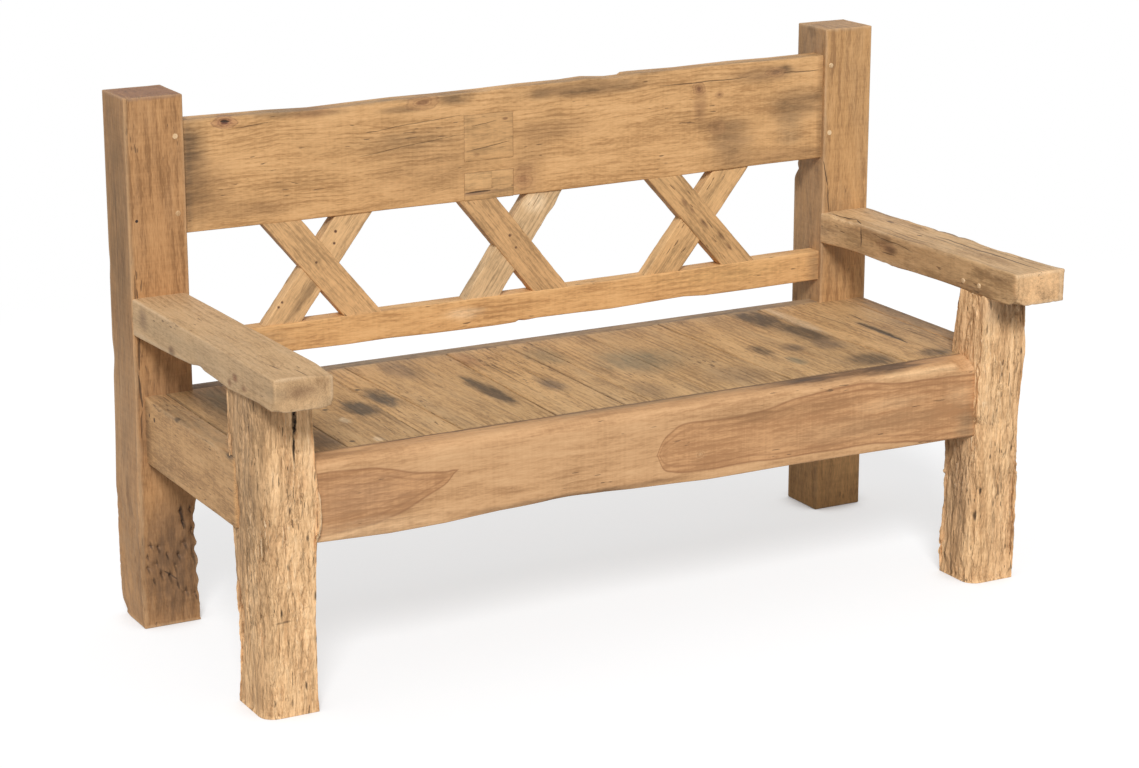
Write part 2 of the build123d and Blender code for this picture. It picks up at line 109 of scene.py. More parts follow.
class Falloff(Enum):
    """How a pull on the surface fades towards its reach."""

    SMOOTH = "SMOOTH"
    SHARP = "SHARP"


X, Y, Z = Axis
LOW, HIGH = Face
SMOOTH, SHARP = Falloff


def metres(point: Sequence[float]) -> Point:
    """Returns a point in metres from one in millimetres."""
    return tuple(value * MM for value in point)


def step(axis: Axis, length: float) -> Point:
    """Returns a step of a length along an axis."""
    return tuple(length if way is axis else 0.0 for way in Axis)


def reading(profile: Profile, place: float) -> float:
    """Returns a profile's height at a place along it."""
    for (a, low), (b, high) in zip(profile, profile[1:]):
        if a - 1e-6 <= place <= b + 1e-6:
            return low + (high - low) * (place - a) / (b - a)
    raise ValueError(f"{place} is off the profile")


# Shader sketching


class Value:
    """An output of a shader node, which takes part in sums like a number or a vector."""

    def __init__(self, sketch: "Sketch", socket: bpy.types.NodeSocket) -> None:
        """Wraps a socket of a sketch's tree."""
        self.sketch, self.socket = sketch, socket

    def __add__(self, other: object) -> "Value":
        """Returns self + other."""
        return self.sketch.math("ADD", self, other)

    def __radd__(self, other: object) -> "Value":
        """Returns other + self."""
        return self.sketch.math("ADD", other, self)

    def __sub__(self, other: object) -> "Value":
        """Returns self - other."""
        return self.sketch.math("SUBTRACT", self, other)

    def __rsub__(self, other: object) -> "Value":
        """Returns other - self."""
        return self.sketch.math("SUBTRACT", other, self)

    def __mul__(self, other: object) -> "Value":
        """Returns self * other."""
        return self.sketch.math("MULTIPLY", self, other)

    def __truediv__(self, other: object) -> "Value":
        """Returns self / other."""
        return self.sketch.math("DIVIDE", self, other)

    def __rtruediv__(self, other: object) -> "Value":
        """Returns other / self."""
        return self.sketch.math("DIVIDE", other, self)

    def mad(self, times: object, plus: object) -> "Value":
        """Returns self * times + plus."""
        return self.sketch.math("MULTIPLY_ADD", self, times, plus)

    def length(self) -> "Value":
        """Returns a vector's length."""
        return self.sketch.math("LENGTH", self)

    def dot(self, other: "Value") -> "Value":
        """Returns the dot product of two vectors."""
        return self.sketch.math("DOT_PRODUCT", self, other)


class Sketch:
    """Adds and joins the nodes of one shader tree."""

    def __init__(self, tree: bpy.types.NodeTree) -> None:
        """Starts on the tree of a material, a world or a node group."""
        self.tree = tree

    def feed(self, socket: bpy.types.NodeSocket, value: object) -> None:
        """Joins an input to a shader value, or gives it a plain one."""
        if isinstance(value, Value):
            self.tree.links.new(value.socket, socket)
        else:
            socket.default_value = value

    def add(self, kind: str, values: dict | None = None, **settings: object) -> bpy.types.Node:
        """Adds a node.

        Args:
            kind: the node's type, without the words that every type starts with.
            values: its inputs by name or number.
            settings: the node's own settings.

        Returns:
            The node.
        """
        node = self.tree.nodes.new(f"ShaderNode{kind}")
        for key, value in settings.items():
            setattr(node, key, value)
        for key, value in (values or {}).items():
            self.feed(node.inputs[key], value)
        return node

    def get(self, kind: str, values: dict | None = None, out: int | str = 0, **settings: object) -> Value:
        """Adds a node as above, and returns the output that out names."""
        return Value(self, self.add(kind, values, **settings).outputs[out])

    def outs(self, node: bpy.types.Node) -> dict[str, Value]:
        """Returns a node's outputs by name."""
        return {socket.name: Value(self, socket) for socket in node.outputs}

    def math(self, operation: str, *values: object, clamp: bool = False) -> Value:
        """One sum, on vectors if one of its values is a vector or a colour.

        Args:
            operation: the operation of the Math node or the Vector Math node.
            values: its inputs, in order.
            clamp: whether a plain result stays from 0 to 1.

        Returns:
            The result.
        """
        wide = any(isinstance(value, Value) and value.socket.type != "VALUE" for value in values)
        node = self.add("VectorMath" if wide else "Math", dict(enumerate(values)), operation=operation)
        if not wide:
            node.use_clamp = clamp
        plain = not wide or operation in ("LENGTH", "DOT_PRODUCT")
        return Value(self, node.outputs["Value" if plain else "Vector"])

    def scale(self, vector: object, share: Value) -> Value:
        """Returns a vector or a colour times a number."""
        return self.get("VectorMath", {0: vector, "Scale": share}, operation="SCALE")

    def split(self, vector: Value) -> list[Value]:
        """Returns a vector's three parts."""
        return list(self.outs(self.add("SeparateXYZ", {0: vector})).values())

    def join(self, *parts: Value) -> Value:
        """Returns the vector that has three parts."""
        return self.get("CombineXYZ", dict(enumerate(parts)))

    def smooth(self, value: Value, low: object, high: object) -> Value:
        """Returns a soft step, 0 below low and 1 above high."""
        return self.get("MapRange", {"Value": value, "From Min": low, "From Max": high},
                        interpolation_type="SMOOTHSTEP")

    def mix(self, amount: object, first: object, second: object) -> Value:
        """Blends two colours, each a shader value or a plain colour.

        Args:
            amount: how much of the second shows.
            first: the colour under it.
            second: the colour over it.

        Returns:
            The blended colour.
        """
        first, second = ((*colour, 1) if isinstance(colour, tuple) else colour for colour in (first, second))
        return self.get("Mix", {0: amount, 6: first, 7: second}, 2, data_type="RGBA")

    def noise(self, vector: Value, scale: object, detail: float = 2, rough: float = 0.5, out: int | str = 0) -> Value:
        """A noise that is stretched by a scale of its own along each axis.

        Args:
            vector: where it is read, in metres.
            scale: how many times it repeats in a metre along each axis.
            detail: how many finer layers it holds.
            rough: how strong they are.
            out: which of its outputs is wanted.

        Returns:
            The noise.
        """
        values = {"Vector": vector * scale, "Scale": 1, "Detail": detail, "Roughness": rough}
        return self.get("TexNoise", values, out)


def new_material(name: str) -> tuple[bpy.types.Material, Sketch]:
    """Returns a material without nodes and a sketch on its tree."""
    made = bpy.data.materials.new(name)
    made.use_nodes = True
    made.node_tree.nodes.clear()
    return made, Sketch(made.node_tree)


class EffectGroup:
    """A shader effect that is built once and placed in many finishes."""

    name: str
    points: tuple[str, ...] = ("Vector",)
    numbers: tuple[str, ...] = ()
    outputs: tuple[str, ...] = ("Mask",)

    @classmethod
    def tree(cls) -> bpy.types.NodeTree:
        """Returns the group's tree, which is made on the first call."""
        found = bpy.data.node_groups.get(cls.name)
        if found:
            return found
        tree = bpy.data.node_groups.new(cls.name, "ShaderNodeTree")
        for names, way, kind in ((cls.points, "INPUT", "Vector"), (cls.numbers, "INPUT", "Float"),
                                 (cls.outputs, "OUTPUT", "Float")):
            for name in names:
                tree.interface.new_socket(name, in_out=way, socket_type=f"NodeSocket{kind}")
        sketch = Sketch(tree)
        given = sketch.outs(tree.nodes.new("NodeGroupInput"))
        made = tree.nodes.new("NodeGroupOutput").inputs
        for key, value in cls.wire(sketch, given).items():
            sketch.feed(made[key], value)
        return tree

    @classmethod
    def on(cls, sketch: Sketch, **values: object) -> dict[str, Value]:
        """Places the group in a sketch with its inputs by name, and returns its outputs by name."""
        return sketch.outs(sketch.add("Group", values, node_tree=cls.tree()))

    @classmethod
    def wire(cls, sketch: Sketch, given: dict[str, Value]) -> dict[str, Value]:
        """Joins the group's nodes from its inputs, and returns its outputs by name."""
        raise NotImplementedError


class StainPatch(EffectGroup):
    """A soft oval with a frayed rim and a broken middle, for stains and discoloured patches, painted shade and painted
    light among them.
    """

    name = "stain_patch"
    points = ("Vector", "Centre", "Reach", "Turn")
    numbers = ("Fray", "Soft", "Break")

    @classmethod
    def wire(cls, sketch: Sketch, given: dict[str, Value]) -> dict[str, Value]:
        """Joins the group's nodes."""
        turned = sketch.get("VectorRotate", {"Vector": given["Vector"] - given["Centre"], "Rotation": given["Turn"]},
                            rotation_type="EULER_XYZ")
        frayed = (turned / given["Reach"]).length() + given["Fray"]
        solid = 1 - sketch.smooth(frayed, 1 - given["Soft"], 1 + given["Soft"])
        return {"Mask": solid * sketch.smooth(given["Break"], 0.30, 0.62).mad(0.4, 0.6)}


class KnotField(EffectGroup):
    """A knot: a lift that bends the grain round it, a dark core and a rim."""

    name = "knot_field"
    points = ("Vector", "Centre", "Reach")
    numbers = ("Fray",)
    outputs = ("Lift", "Core", "Rim", "Turns")

    @classmethod
    def wire(cls, sketch: Sketch, given: dict[str, Value]) -> dict[str, Value]:
        """Joins the group's nodes."""
        far = ((given["Vector"] - given["Centre"]) / given["Reach"]).length()
        frayed = far + given["Fray"]
        wave = sketch.smooth(sketch.math("SINE", frayed * 13), 0.1, 0.9)
        return {"Lift": sketch.math("POWER", 2.718, far * far * -0.35),
                "Core": 1 - sketch.smooth(frayed, 0.25, 0.55),
                "Rim": 1 - sketch.smooth(frayed, 0.75, 1.35),
                "Turns": wave * (1 - sketch.smooth(frayed, 0.9, 1.8))}


class CrackLine(EffectGroup):
    """A narrow crack between two points, which wanders and thins towards its ends."""

    name = "crack_line"
    points = ("Vector", "Start", "End", "Flat")
    numbers = ("Width",)

    @classmethod
    def wire(cls, sketch: Sketch, given: dict[str, Value]) -> dict[str, Value]:
        """Joins the group's nodes."""
        along = given["End"] - given["Start"]
        away = given["Vector"] - given["Start"]
        share = sketch.math("DIVIDE", away.dot(along), along.dot(along), clamp=True)
        gap = ((away - sketch.scale(along, share)) * given["Flat"]).length()
        wide = given["Width"] * (share * (1 - share)).mad(3.2, 0.2)
        return {"Mask": 1 - sketch.smooth(gap / wide, 0.35, 1)}


class TimberGrain(EffectGroup):
    """The figure of a sawn timber, with the grain along the vector's X."""

    name = "timber_grain"
    numbers = ("Lift", "Cloud", "Ring", "Waver")
    outputs = ("Tone", "Rings", "Fibre", "Micro", "Saw", "Fray", "Break")

    @classmethod
    def wire(cls, sketch: Sketch, given: dict[str, Value]) -> dict[str, Value]:
        """Joins the group's nodes."""
        place = given["Vector"]
        bend = (sketch.noise(place, (11, 24, 24), 1) - 0.5).mad(0.22, sketch.noise(place, (2.3, 7, 7)))
        x, y, z = sketch.split(place)
        across = y + (bend - 0.5) * given["Waver"] + given["Lift"]
        flow = sketch.join(x, across, z)
        times = 1 / given["Cloud"]
        cloud = sketch.noise(flow, sketch.join(times * 0.28, times, times), 4, 0.62)
        streak = sketch.noise(flow, (11, 125, 125), 3, 0.66)
        part = sketch.math("FRACT", cloud.mad(given["Ring"] * 1.6, across) / given["Ring"])
        rings = sketch.smooth(part, 0.35, 0.86) * (1 - sketch.smooth(part, 0.88, 0.98))
        return {"Tone": cloud * 0.56 + streak * 0.44,
                "Rings": rings * sketch.smooth(sketch.noise(flow, (5, 17, 17)), 0.38, 0.62),
                "Fibre": sketch.noise(flow, (20, 255, 230), 2.5, 0.65),
                "Micro": sketch.noise(flow, (85, 480, 480), 1),
                "Saw": sketch.noise(place, (210, 9, 9), 2, 0.55),
                "Fray": sketch.noise(flow, (19, 75, 75), 4, 0.65) - 0.5,
                "Break": sketch.noise(flow, (24, 110, 110), 3, 0.6)}


class TornSurface(EffectGroup):
    """The flakes and splits of hewn timber, with the grain along the vector's X."""

    name = "torn_surface"
    numbers = ("Size",)
    outputs = ("Height", "Crease")

    @classmethod
    def wire(cls, sketch: Sketch, given: dict[str, Value]) -> dict[str, Value]:
        """Joins the group's nodes."""
        warp = sketch.noise(given["Vector"], (30, 90, 90), 3, 0.6, "Color")
        bent = given["Vector"] + (warp - (0.5, 0.5, 0.5)) * (0.03, 0.012, 0.012)
        slopes, creases = [], []
        for share, stretch in ((1, 0.20), (0.48, 0.24)):
            times = 1 / (given["Size"] * share)
            values = {"Vector": bent * sketch.join(times * stretch, times, times), "Scale": 1, "Randomness": 1}
            cells = sketch.outs(sketch.add("TexVoronoi", values))
            edge = sketch.get("TexVoronoi", values, "Distance", feature="DISTANCE_TO_EDGE")
            slopes.append(sketch.split(cells["Color"])[0] * 0.7 - cells["Distance"] * 1.5)
            creases.append(1 - sketch.smooth(edge, 0, 0.09))
        where = sketch.smooth(sketch.noise(given["Vector"], (14, 46, 46)), 0.47, 0.62)
        return {"Height": slopes[1].mad(0.5, slopes[0]), "Crease": sketch.math("MAXIMUM", *creases) * where}


class PitField(EffectGroup):
    """Long dark pores and splits that lie along the vector's X."""

    name = "pit_field"
    numbers = ("Amount",)

    @classmethod
    def wire(cls, sketch: Sketch, given: dict[str, Value]) -> dict[str, Value]:
        """Joins the group's nodes."""
        speck = sketch.noise(given["Vector"], (34, 250, 250), 1)
        where = sketch.noise(given["Vector"], (5, 19, 19), 1)
        edge = 0.8 - given["Amount"]
        return {"Mask": sketch.smooth((where - 0.5).mad(0.5, speck), edge, edge + 0.06)}


class EdgeWear(EffectGroup):
    """Shows how near a point is to an edge of a box, frayed along it."""

    name = "edge_wear"
    points = ("Vector", "Low", "High")
    numbers = ("Width", "Fray")

    @classmethod
    def wire(cls, sketch: Sketch, given: dict[str, Value]) -> dict[str, Value]:
        """Joins the group's nodes."""
        up = sketch.math("ABSOLUTE", given["Vector"] - given["Low"])
        down = sketch.math("ABSOLUTE", given["High"] - given["Vector"])
        x, y, z = sketch.split(sketch.math("MINIMUM", up, down))
        least = sketch.math("MINIMUM", x, sketch.math("MINIMUM", y, z))
        most = sketch.math("MAXIMUM", x, sketch.math("MAXIMUM", y, z))
        middle = x + (y + z) - least - most
        return {"Mask": 1 - sketch.smooth(middle / given["Width"] + given["Fray"], 0, 1)}


# Finishes


@dataclass(frozen=True)
class StainAndPaintedLight:
    """A discoloured patch: mostly a stain, and in a few places painted shade and painted light. Sizes are in
    millimetres in the settle's frame, and the turn is in degrees.
    """

    place: Point
    reach: Point
    colour: Colour
    strength: float
    soft: float = 0.55
    fray: float = 1.6
    turn: float = 0


@dataclass(frozen=True)
class Knot:
    """A knot. lift is how far it pushes the grain aside, in millimetres."""

    place: Point
    reach: Point
    lift: float
    colour: Colour = (0.13, 0.065, 0.035)
    strength: float = 0.7
    rim: Colour = (0.40, 0.21, 0.095)


@dataclass(frozen=True)
class Crack:
    """A crack or a scratch from one point to another, in millimetres, cut along an axis."""

    start: Point
    end: Point
    width: float
    strength: float = 0.85
    colour: Colour = (0.05, 0.03, 0.02)
    through: Axis = Y


def marks(axis: Axis, place: float, reach: float, *rows: Sequence) -> list[StainAndPaintedLight]:
    """Returns the stains of a face.

    Args:
        axis: the axis that the face looks along.
        place: where the face lies on it, in millimetres.
        reach: how deep the stains reach.
        rows: for each stain its place and its reach along the two other axes, and then its other fields.

    Returns:
        The stains.
    """
    made = []
    for a, b, wide, high, *rest in rows:
        spot, size = [a, b], [wide, high]
        spot.insert(axis.value, place)
        size.insert(axis.value, reach)
        made.append(StainAndPaintedLight(tuple(spot), tuple(size), *rest))
    return made


def spots(*rows: Sequence) -> list[StainAndPaintedLight]:
    """Returns a patch for each row of its place, its reach and its other fields, without inner brackets; a few of them
    are painted shade and painted light.
    """
    return [StainAndPaintedLight(row[:3], row[3:6], *row[6:]) for row in rows]


def cracks(through: Axis, *rows: Sequence) -> list[Crack]:
    """Returns a crack along an axis for each row of its start, its end and its other fields."""
    return [Crack(row[:3], row[3:6], *row[6:], through=through) for row in rows]


def tones(light: Colour, mid: float = 0.86, dark: float = 0.58) -> tuple[Colour, Colour, Colour]:
    """Returns a light, a middle and a dark tone, the last two as shares of the first."""
    return tuple(tuple(share * part for part in light) for share in (1, mid, dark))


@dataclass(frozen=True)
class WoodFinish:
    """The finish of one timber: its figure, its marks and its surface, with painted shade in its hollows and painted
    highlights on its ridges where those colours are given. Sizes are in millimetres.
    """

    tones: tuple[Colour, Colour, Colour]
    seed: float
    lean: float = 0
    cloud: float = 36
    ring: float = 14
    rings: float = 0.22
    waver: float = 26
    contrast: float = 1
    fibre: float = 0.6
    saw: float = 0.12
    weather: float = 0
    weather_colour: Colour = (0.30, 0.22, 0.14)
    pits: float = 0.05
    pit_colour: Colour = (0.13, 0.075, 0.04)
    relief: float = 0.7
    torn: float = 0
    flake: float = 13
    roughness: float = 0.62
    edge: tuple[Point, Point] | None = None
    edge_width: float = 7
    edge_colour: Colour = (0.70, 0.48, 0.28)
    edge_strength: float = 0.35
    # Colours of painted shade in the hollows and of painted highlights on the ridges that the roughening leaves.
    hollow_shade: Colour | None = None
    ridge: Colour = (0.80, 0.58, 0.36)
    stains: Sequence[StainAndPaintedLight] = ()
    knots: Sequence[Knot] = ()
    cracks: Sequence[Crack] = ()

    def local(self, sketch: Sketch, place: Value, grain: Axis) -> Value:
        """Turns a place so that X runs along the grain, and moves it by the seed."""
        if self.lean:
            values = {"Vector": place, "Axis": (0, 1, 0), "Angle": math.radians(self.lean)}
            place = sketch.get("VectorRotate", values, rotation_type="AXIS_ANGLE")
        parts = sketch.split(place)
        order = {X: (0, 2, 1), Y: (1, 0, 2), Z: (2, 0, 1)}[grain]
        return sketch.join(*(parts[k] for k in order)) + (self.seed, self.seed * 0.37, self.seed * 0.71)

    def figure(self, sketch: Sketch, place: Value, tone: Value) -> Value:
        """The plain colour of the wood.

        Args:
            sketch: the material's sketch.
            place: the Object coordinates, which this plain colour does not use.
            tone: how light the wood is, from 0 to 1.

        Returns:
            The colour.
        """
        node = sketch.add("ValToRGB", {0: tone})
        points = node.color_ramp.elements
        light, mid, dark = ((*colour, 1) for colour in self.tones)
        points[0].position, points[0].color = 0.22, dark
        points[1].position, points[1].color = 0.80, light
        points.new(0.50).color = mid
        return Value(sketch, node.outputs[0])

    def extra_lift(self, sketch: Sketch, place: Value) -> object:
        """Returns how far the figure is bent beyond its knots, in metres."""
        return 0.0

    def build(self, name: str, axis: Axis) -> bpy.types.Material:
        """Builds the material.

        Args:
            name: its name.
            axis: the axis that the grain runs along.

        Returns:
            The material.
        """
        made, sketch = new_material(name)
        place = sketch.get("TexCoord", out="Object")
        local = self.local(sketch, place, axis)
        lift = self.extra_lift(sketch, place)
        knots = []
        for knot in self.knots:
            knots.append(KnotField.on(sketch, Vector=place, Centre=metres(knot.place), Reach=metres(knot.reach)))
            lift = knots[-1]["Lift"].mad(knot.lift * MM, lift)
        grain = TimberGrain.on(sketch, Vector=local, Lift=lift, Cloud=self.cloud * MM, Ring=self.ring * MM,
                               Waver=self.waver * MM)
        tone = 0.5
        for key, amount in (("Tone", 2.1 * self.contrast), ("Micro", 1.1 * self.fibre), ("Saw", 2 * self.saw)):
            tone = (grain[key] - 0.5).mad(amount, tone)
        tone = grain["Rings"].mad(-self.rings, tone)
        coat = Coat(sketch, place, grain, tone)
        coat.colour = self.figure(sketch, place, tone)
        coat.stain(sketch.smooth(grain["Fibre"], 0.50, 0.70) * self.fibre, self.tones[2])
        coat.height = grain["Fibre"].mad(-0.5, grain["Tone"] * 0.9)
        if self.weather:
            cloud = grain["Fray"].mad(0.5, sketch.noise(local, (3.4, 17, 17), 4, 0.62))
            coat.stain(sketch.smooth(cloud, 0.42, 0.68) * self.weather, self.weather_colour)
        for stain in self.stains:
            coat.patch(stain)
        for knot, field in zip(self.knots, knots):
            coat.knot(knot, field)
        pits = PitField.on(sketch, Vector=local, Amount=self.pits)["Mask"]
        coat.paint(pits * 0.7, self.pit_colour)
        coat.height = pits.mad(-0.8, coat.height)
        if self.edge:
            near = EdgeWear.on(sketch, Vector=place, Low=metres(self.edge[0]), High=metres(self.edge[1]),
                               Width=self.edge_width * MM, Fray=grain["Fray"] * 1.8)["Mask"]
            coat.paint(near * self.edge_strength, self.edge_colour)
        # Painted shade in the hollows and painted highlights on the ridges, read from the relief that the roughening
        # stored.
        if self.hollow_shade:
            depth = sketch.get("Attribute", out="Fac", attribute_name="relief")
            coat.paint((1 - sketch.smooth(depth, 0.08, 0.46)) * 0.75, self.hollow_shade)
            coat.paint(sketch.smooth(depth, 0.56, 0.86) * 0.5, self.ridge)
        if self.torn:
            rough = TornSurface.on(sketch, Vector=local, Size=self.flake * MM)
            coat.height = rough["Height"].mad(self.torn, coat.height)
            coat.height = rough["Crease"].mad(-0.15 * self.torn, coat.height)
        if self.cracks:
            coat.split(self.cracks)
        normal = sketch.get("Bump", {"Height": coat.height, "Strength": 1, "Distance": self.relief * MM})
        shader = sketch.get("BsdfPrincipled", {
            "Base Color": coat.colour, "Roughness": grain["Fibre"].mad(0.18, self.roughness - 0.09),
            "Normal": normal, "Specular IOR Level": 0.28})
        sketch.add("OutputMaterial", {"Surface": shader})
        return made


class Coat:
    """The colour and the height of a finish, as its layers are laid one over the other."""

    def __init__(self, sketch: Sketch, place: Value, grain: dict[str, Value], tone: Value) -> None:
        """Starts without layers.

        Args:
            sketch: the material's sketch.
            place: the Object coordinates.
            grain: the outputs of the grain.
            tone: how light the wood is.
        """
        self.sketch, self.place, self.grain, self.tone = sketch, place, grain, tone
        self.colour: Value | None = None
        self.height: Value | None = None

    def paint(self, amount: Value, colour: Colour) -> None:
        """Lays a colour over the others."""
        self.colour = self.sketch.mix(amount, self.colour, colour)

    def stain(self, amount: Value, colour: Colour) -> None:
        """Lays a colour over the others and lets the figure show through it."""
        tinted = self.sketch.scale(colour, self.tone.mad(0.9, 0.55))
        self.colour = self.sketch.mix(amount, self.colour, tinted)

    def patch(self, stain: StainAndPaintedLight) -> None:
        """Lays a patch, which is a stain in most places and painted shade and painted light in a few."""
        mask = StainPatch.on(
            self.sketch, Vector=self.place, Centre=metres(stain.place), Reach=metres(stain.reach),
            Turn=(0, math.radians(stain.turn), 0), Soft=stain.soft, Break=self.grain["Break"],
            Fray=self.grain["Fray"] * stain.fray)["Mask"]
        self.stain(self.sketch.math("MULTIPLY", mask, stain.strength * 1.5, clamp=True), stain.colour)

    def knot(self, knot: Knot, field: dict[str, Value]) -> None:
        """Lays a knot from the outputs of its field."""
        self.sketch.feed(field["Lift"].socket.node.inputs["Fray"], self.grain["Fray"] * 1.6)
        self.stain(field["Rim"] * (knot.strength * 0.7), knot.rim)
        self.stain(field["Turns"] * (knot.strength * 0.5), knot.colour)
        self.stain(field["Core"] * knot.strength, knot.colour)
        self.height = field["Core"].mad(-0.6, self.height)

    def split(self, lines: Sequence[Crack]) -> None:
        """Cuts the cracks, which wander a few millimetres off their lines."""
        sway = self.sketch.noise(self.place, (21, 21, 21), out="Color") - (0.5, 0.5, 0.5)
        wandered = self.place + sway * (0.006, 0.006, 0.006)
        for crack in lines:
            mask = CrackLine.on(
                self.sketch, Vector=wandered, Start=metres(crack.start), End=metres(crack.end),
                Flat=tuple(0.12 if axis is crack.through else 1 for axis in Axis), Width=crack.width * MM)["Mask"]
            self.paint(mask * crack.strength, crack.colour)
            self.height = mask.mad(-1, self.height)


# Shaping


@dataclass(frozen=True)
class Relief:
    """A texture that roughens a surface. Sizes are in millimetres."""

    weave: Weave
    size: float
    stretch: Point
    depth: float
    seed: float
    level: float = 0.5
    hard: bool = False


def hang(piece: bpy.types.Object, look: WoodFinish, grain: Axis, node: str) -> None:
    """Smooths and dresses a piece, and hangs it on the frame.

    Args:
        piece: the piece.
        look: its finish.
        grain: the axis that its grain runs along.
        node: the frame's node that it stands for.
    """
    bpy.ops.object.select_all(action="DESELECT")
    piece.select_set(True)
    bpy.context.view_layer.objects.active = piece
    bpy.ops.object.shade_smooth_by_angle(angle=SHARP_SHADE)
    piece.data.materials.clear()
    piece.data.materials.append(look.build(f"{piece.name}_wood", grain))
    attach(piece, BODY)
    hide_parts(node)
    LOG.info("%s: %d faces", piece.name, len(piece.data.polygons))


class Blank:
    """A timber blank that is shaped in edit mode and finished with modifiers."""

    def __init__(self, name: str, low: Point, high: Point, grain: Axis = X) -> None:
        """Adds the blank.

        Args:
            name: the piece's name.
            low: its lowest corner, in millimetres.
            high: its highest corner, in millimetres.
            grain: the axis that its grain runs along.
        """
        bpy.ops.object.select_all(action="DESELECT")
        centre = [(a + b) / 2 * MM for a, b in zip(low, high)]
        size = [(b - a) * MM for a, b in zip(low, high)]
        bpy.ops.mesh.primitive_cube_add(size=1, location=centre, scale=size)
        bpy.ops.object.transform_apply(location=True, rotation=True, scale=True)
        self.piece = bpy.context.object
        self.piece.name = self.piece.data.name = name
        self.low, self.high = Vector(low) * MM, Vector(high) * MM
        self.grain = grain
        self.cut: set[Axis] = set()
        self.plain: list[tuple[Vector, Vector]] = []
        bpy.ops.object.mode_set(mode="EDIT")
        bpy.ops.mesh.select_mode(type="VERT")

    def pick(self, wanted: Pick) -> None:
        """Selects the vertices whose place, in metres, a test accepts."""
        bpy.ops.mesh.select_all(action="DESELECT")
        mesh = bmesh.from_edit_mesh(self.piece.data)
        for vertex in mesh.verts:
            if wanted(vertex.co):
                vertex.select_set(True)
        mesh.select_flush(True)
        bmesh.update_edit_mesh(self.piece.data, loop_triangles=False, destructive=False)

    def choose(self, kind: str, wanted: Callable[[object], bool]) -> None:
        """Selects the edges or the faces that a test accepts.

        Args:
            kind: EDGE or FACE.
            wanted: the test of an edge or a face.
        """
        bpy.ops.mesh.select_mode(type=kind)
        bpy.ops.mesh.select_all(action="DESELECT")
        mesh = bmesh.from_edit_mesh(self.piece.data)
        for part in mesh.edges if kind == "EDGE" else mesh.faces:
            if wanted(part):
                part.select_set(True)
        bmesh.update_edit_mesh(self.piece.data)

    def slice(self, axis: Axis, places: Iterable[float]) -> None:
        """Cuts the blank's faces at some places along an axis, in millimetres."""
        self.cut.add(axis)
        for place in places:
            bpy.ops.mesh.select_all(action="SELECT")
            bpy.ops.mesh.bisect(plane_co=step(axis, place * MM), plane_no=step(axis, 1))

    def outline(self, along: Axis, *sides: tuple[Axis, Face, Profile], tail: float = 0) -> None:
        """Slices the blank where its profiles bend, and makes its sides follow them.

        Args:
            along: the axis that the profiles run along.
            sides: for each side the axis that it faces, which side it is, and its profile, as pairs of a
                place along the one axis and the side's place along the other.
            tail: how far the blank's high end lies past the profiles' end, in millimetres.
        """
        first, last = sides[0][2][0][0], sides[0][2][-1][0]
        places = sorted({place for *_, profile in sides for place, _ in profile} - {first, last})
        self.slice(along, places)
        for across, face, profile in sides:
            k = across.value
            start = (self.low if face is LOW else self.high)[k]
            span = (self.high[k] - self.low[k]) / 2
            for place in (first, *places, last):
                near = (place + (tail if place == last else 0)) * MM
                self.pick(lambda co: abs(co[along.value] - near) < NEAR and abs(co[k] - start) < span)
                bpy.ops.transform.translate(value=step(across, reading(profile, place) * MM - start))

    def refine(self, pitch: float, *axes: Axis) -> None:
        """Divides the edges that run along some axes, or along every axis.

        Args:
            pitch: the length of the new edges, in millimetres.
            axes: the axes.
        """
        for axis in axes or Axis:
            self.divide(pitch * MM, axis)
        bpy.ops.mesh.select_mode(type="VERT")

    def divide(self, pitch: float, axis: Axis) -> None:
        """Divides the edges along one axis.

        Args:
            pitch: the length of the new edges, in metres.
            axis: the axis.
        """
        k = axis.value
        whole = self.high[k] - self.low[k]

        def cuts(edge: bmesh.types.BMEdge) -> int:
            """Returns how many cuts an edge needs, which is none if it runs another way."""
            run = edge.verts[1].co - edge.verts[0].co
            if abs(run[k]) < 0.7 * run.length:
                return 0
            if axis not in self.cut:
                return round(whole / pitch) - 1 if abs(run[k]) > 0.4 * whole else 0
            return round(abs(run[k]) / pitch) - 1

        def middle(edge: bmesh.types.BMEdge) -> tuple[float, ...]:
            """Returns an edge's middle, by which it is found again after other edges are cut."""
            return tuple(round(value, 6) for value in (edge.verts[0].co + edge.verts[1].co) / 2)

        spots: dict[int, set[tuple[float, ...]]] = {}
        for edge in bmesh.from_edit_mesh(self.piece.data).edges:
            if cuts(edge) > 0:
                spots.setdefault(cuts(edge), set()).add(middle(edge))
        for count in sorted(spots):
            self.choose("EDGE", lambda edge: middle(edge) in spots[count])
            bpy.ops.mesh.subdivide(number_cuts=count)

    def refine_bevels(self, pitch: float) -> None:
        """Divides the level edges that run along no axis, which a wide bevel leaves.

        Args:
            pitch: the length of the new edges, in millimetres.
        """
        def cuts(edge: bmesh.types.BMEdge) -> int:
            """Returns how many cuts an edge needs."""
            run = edge.verts[1].co - edge.verts[0].co
            slanted = min(abs(run.x), abs(run.y)) > 0.1 * run.length > abs(run.z)
            return max(round(run.length / (pitch * MM)) - 1, 0) if slanted else 0

        most = max(cuts(edge) for edge in bmesh.from_edit_mesh(self.piece.data).edges)
        self.choose("EDGE", lambda edge: cuts(edge) > 0)
        bpy.ops.mesh.subdivide(number_cuts=most)
        bpy.ops.mesh.select_mode(type="VERT")

    def round_edges(self, width: float, segments: int = 3, wanted: Pick = lambda middle: True) -> None:
        """Bevels the sharp edges.

        Args:
            width: the bevel's width, in millimetres.
            segments: how many faces it has.
            wanted: a test of an edge's middle, in metres, that leaves edges out.
        """
        self.choose("EDGE", lambda edge: len(edge.link_faces) == 2 and edge.calc_face_angle(0.0) > SHARP_EDGE
                    and wanted((edge.verts[0].co + edge.verts[1].co) / 2))
        bpy.ops.mesh.bevel(offset=width * MM, segments=segments, profile=0.5, clamp_overlap=True)
        bpy.ops.mesh.select_mode(type="VERT")

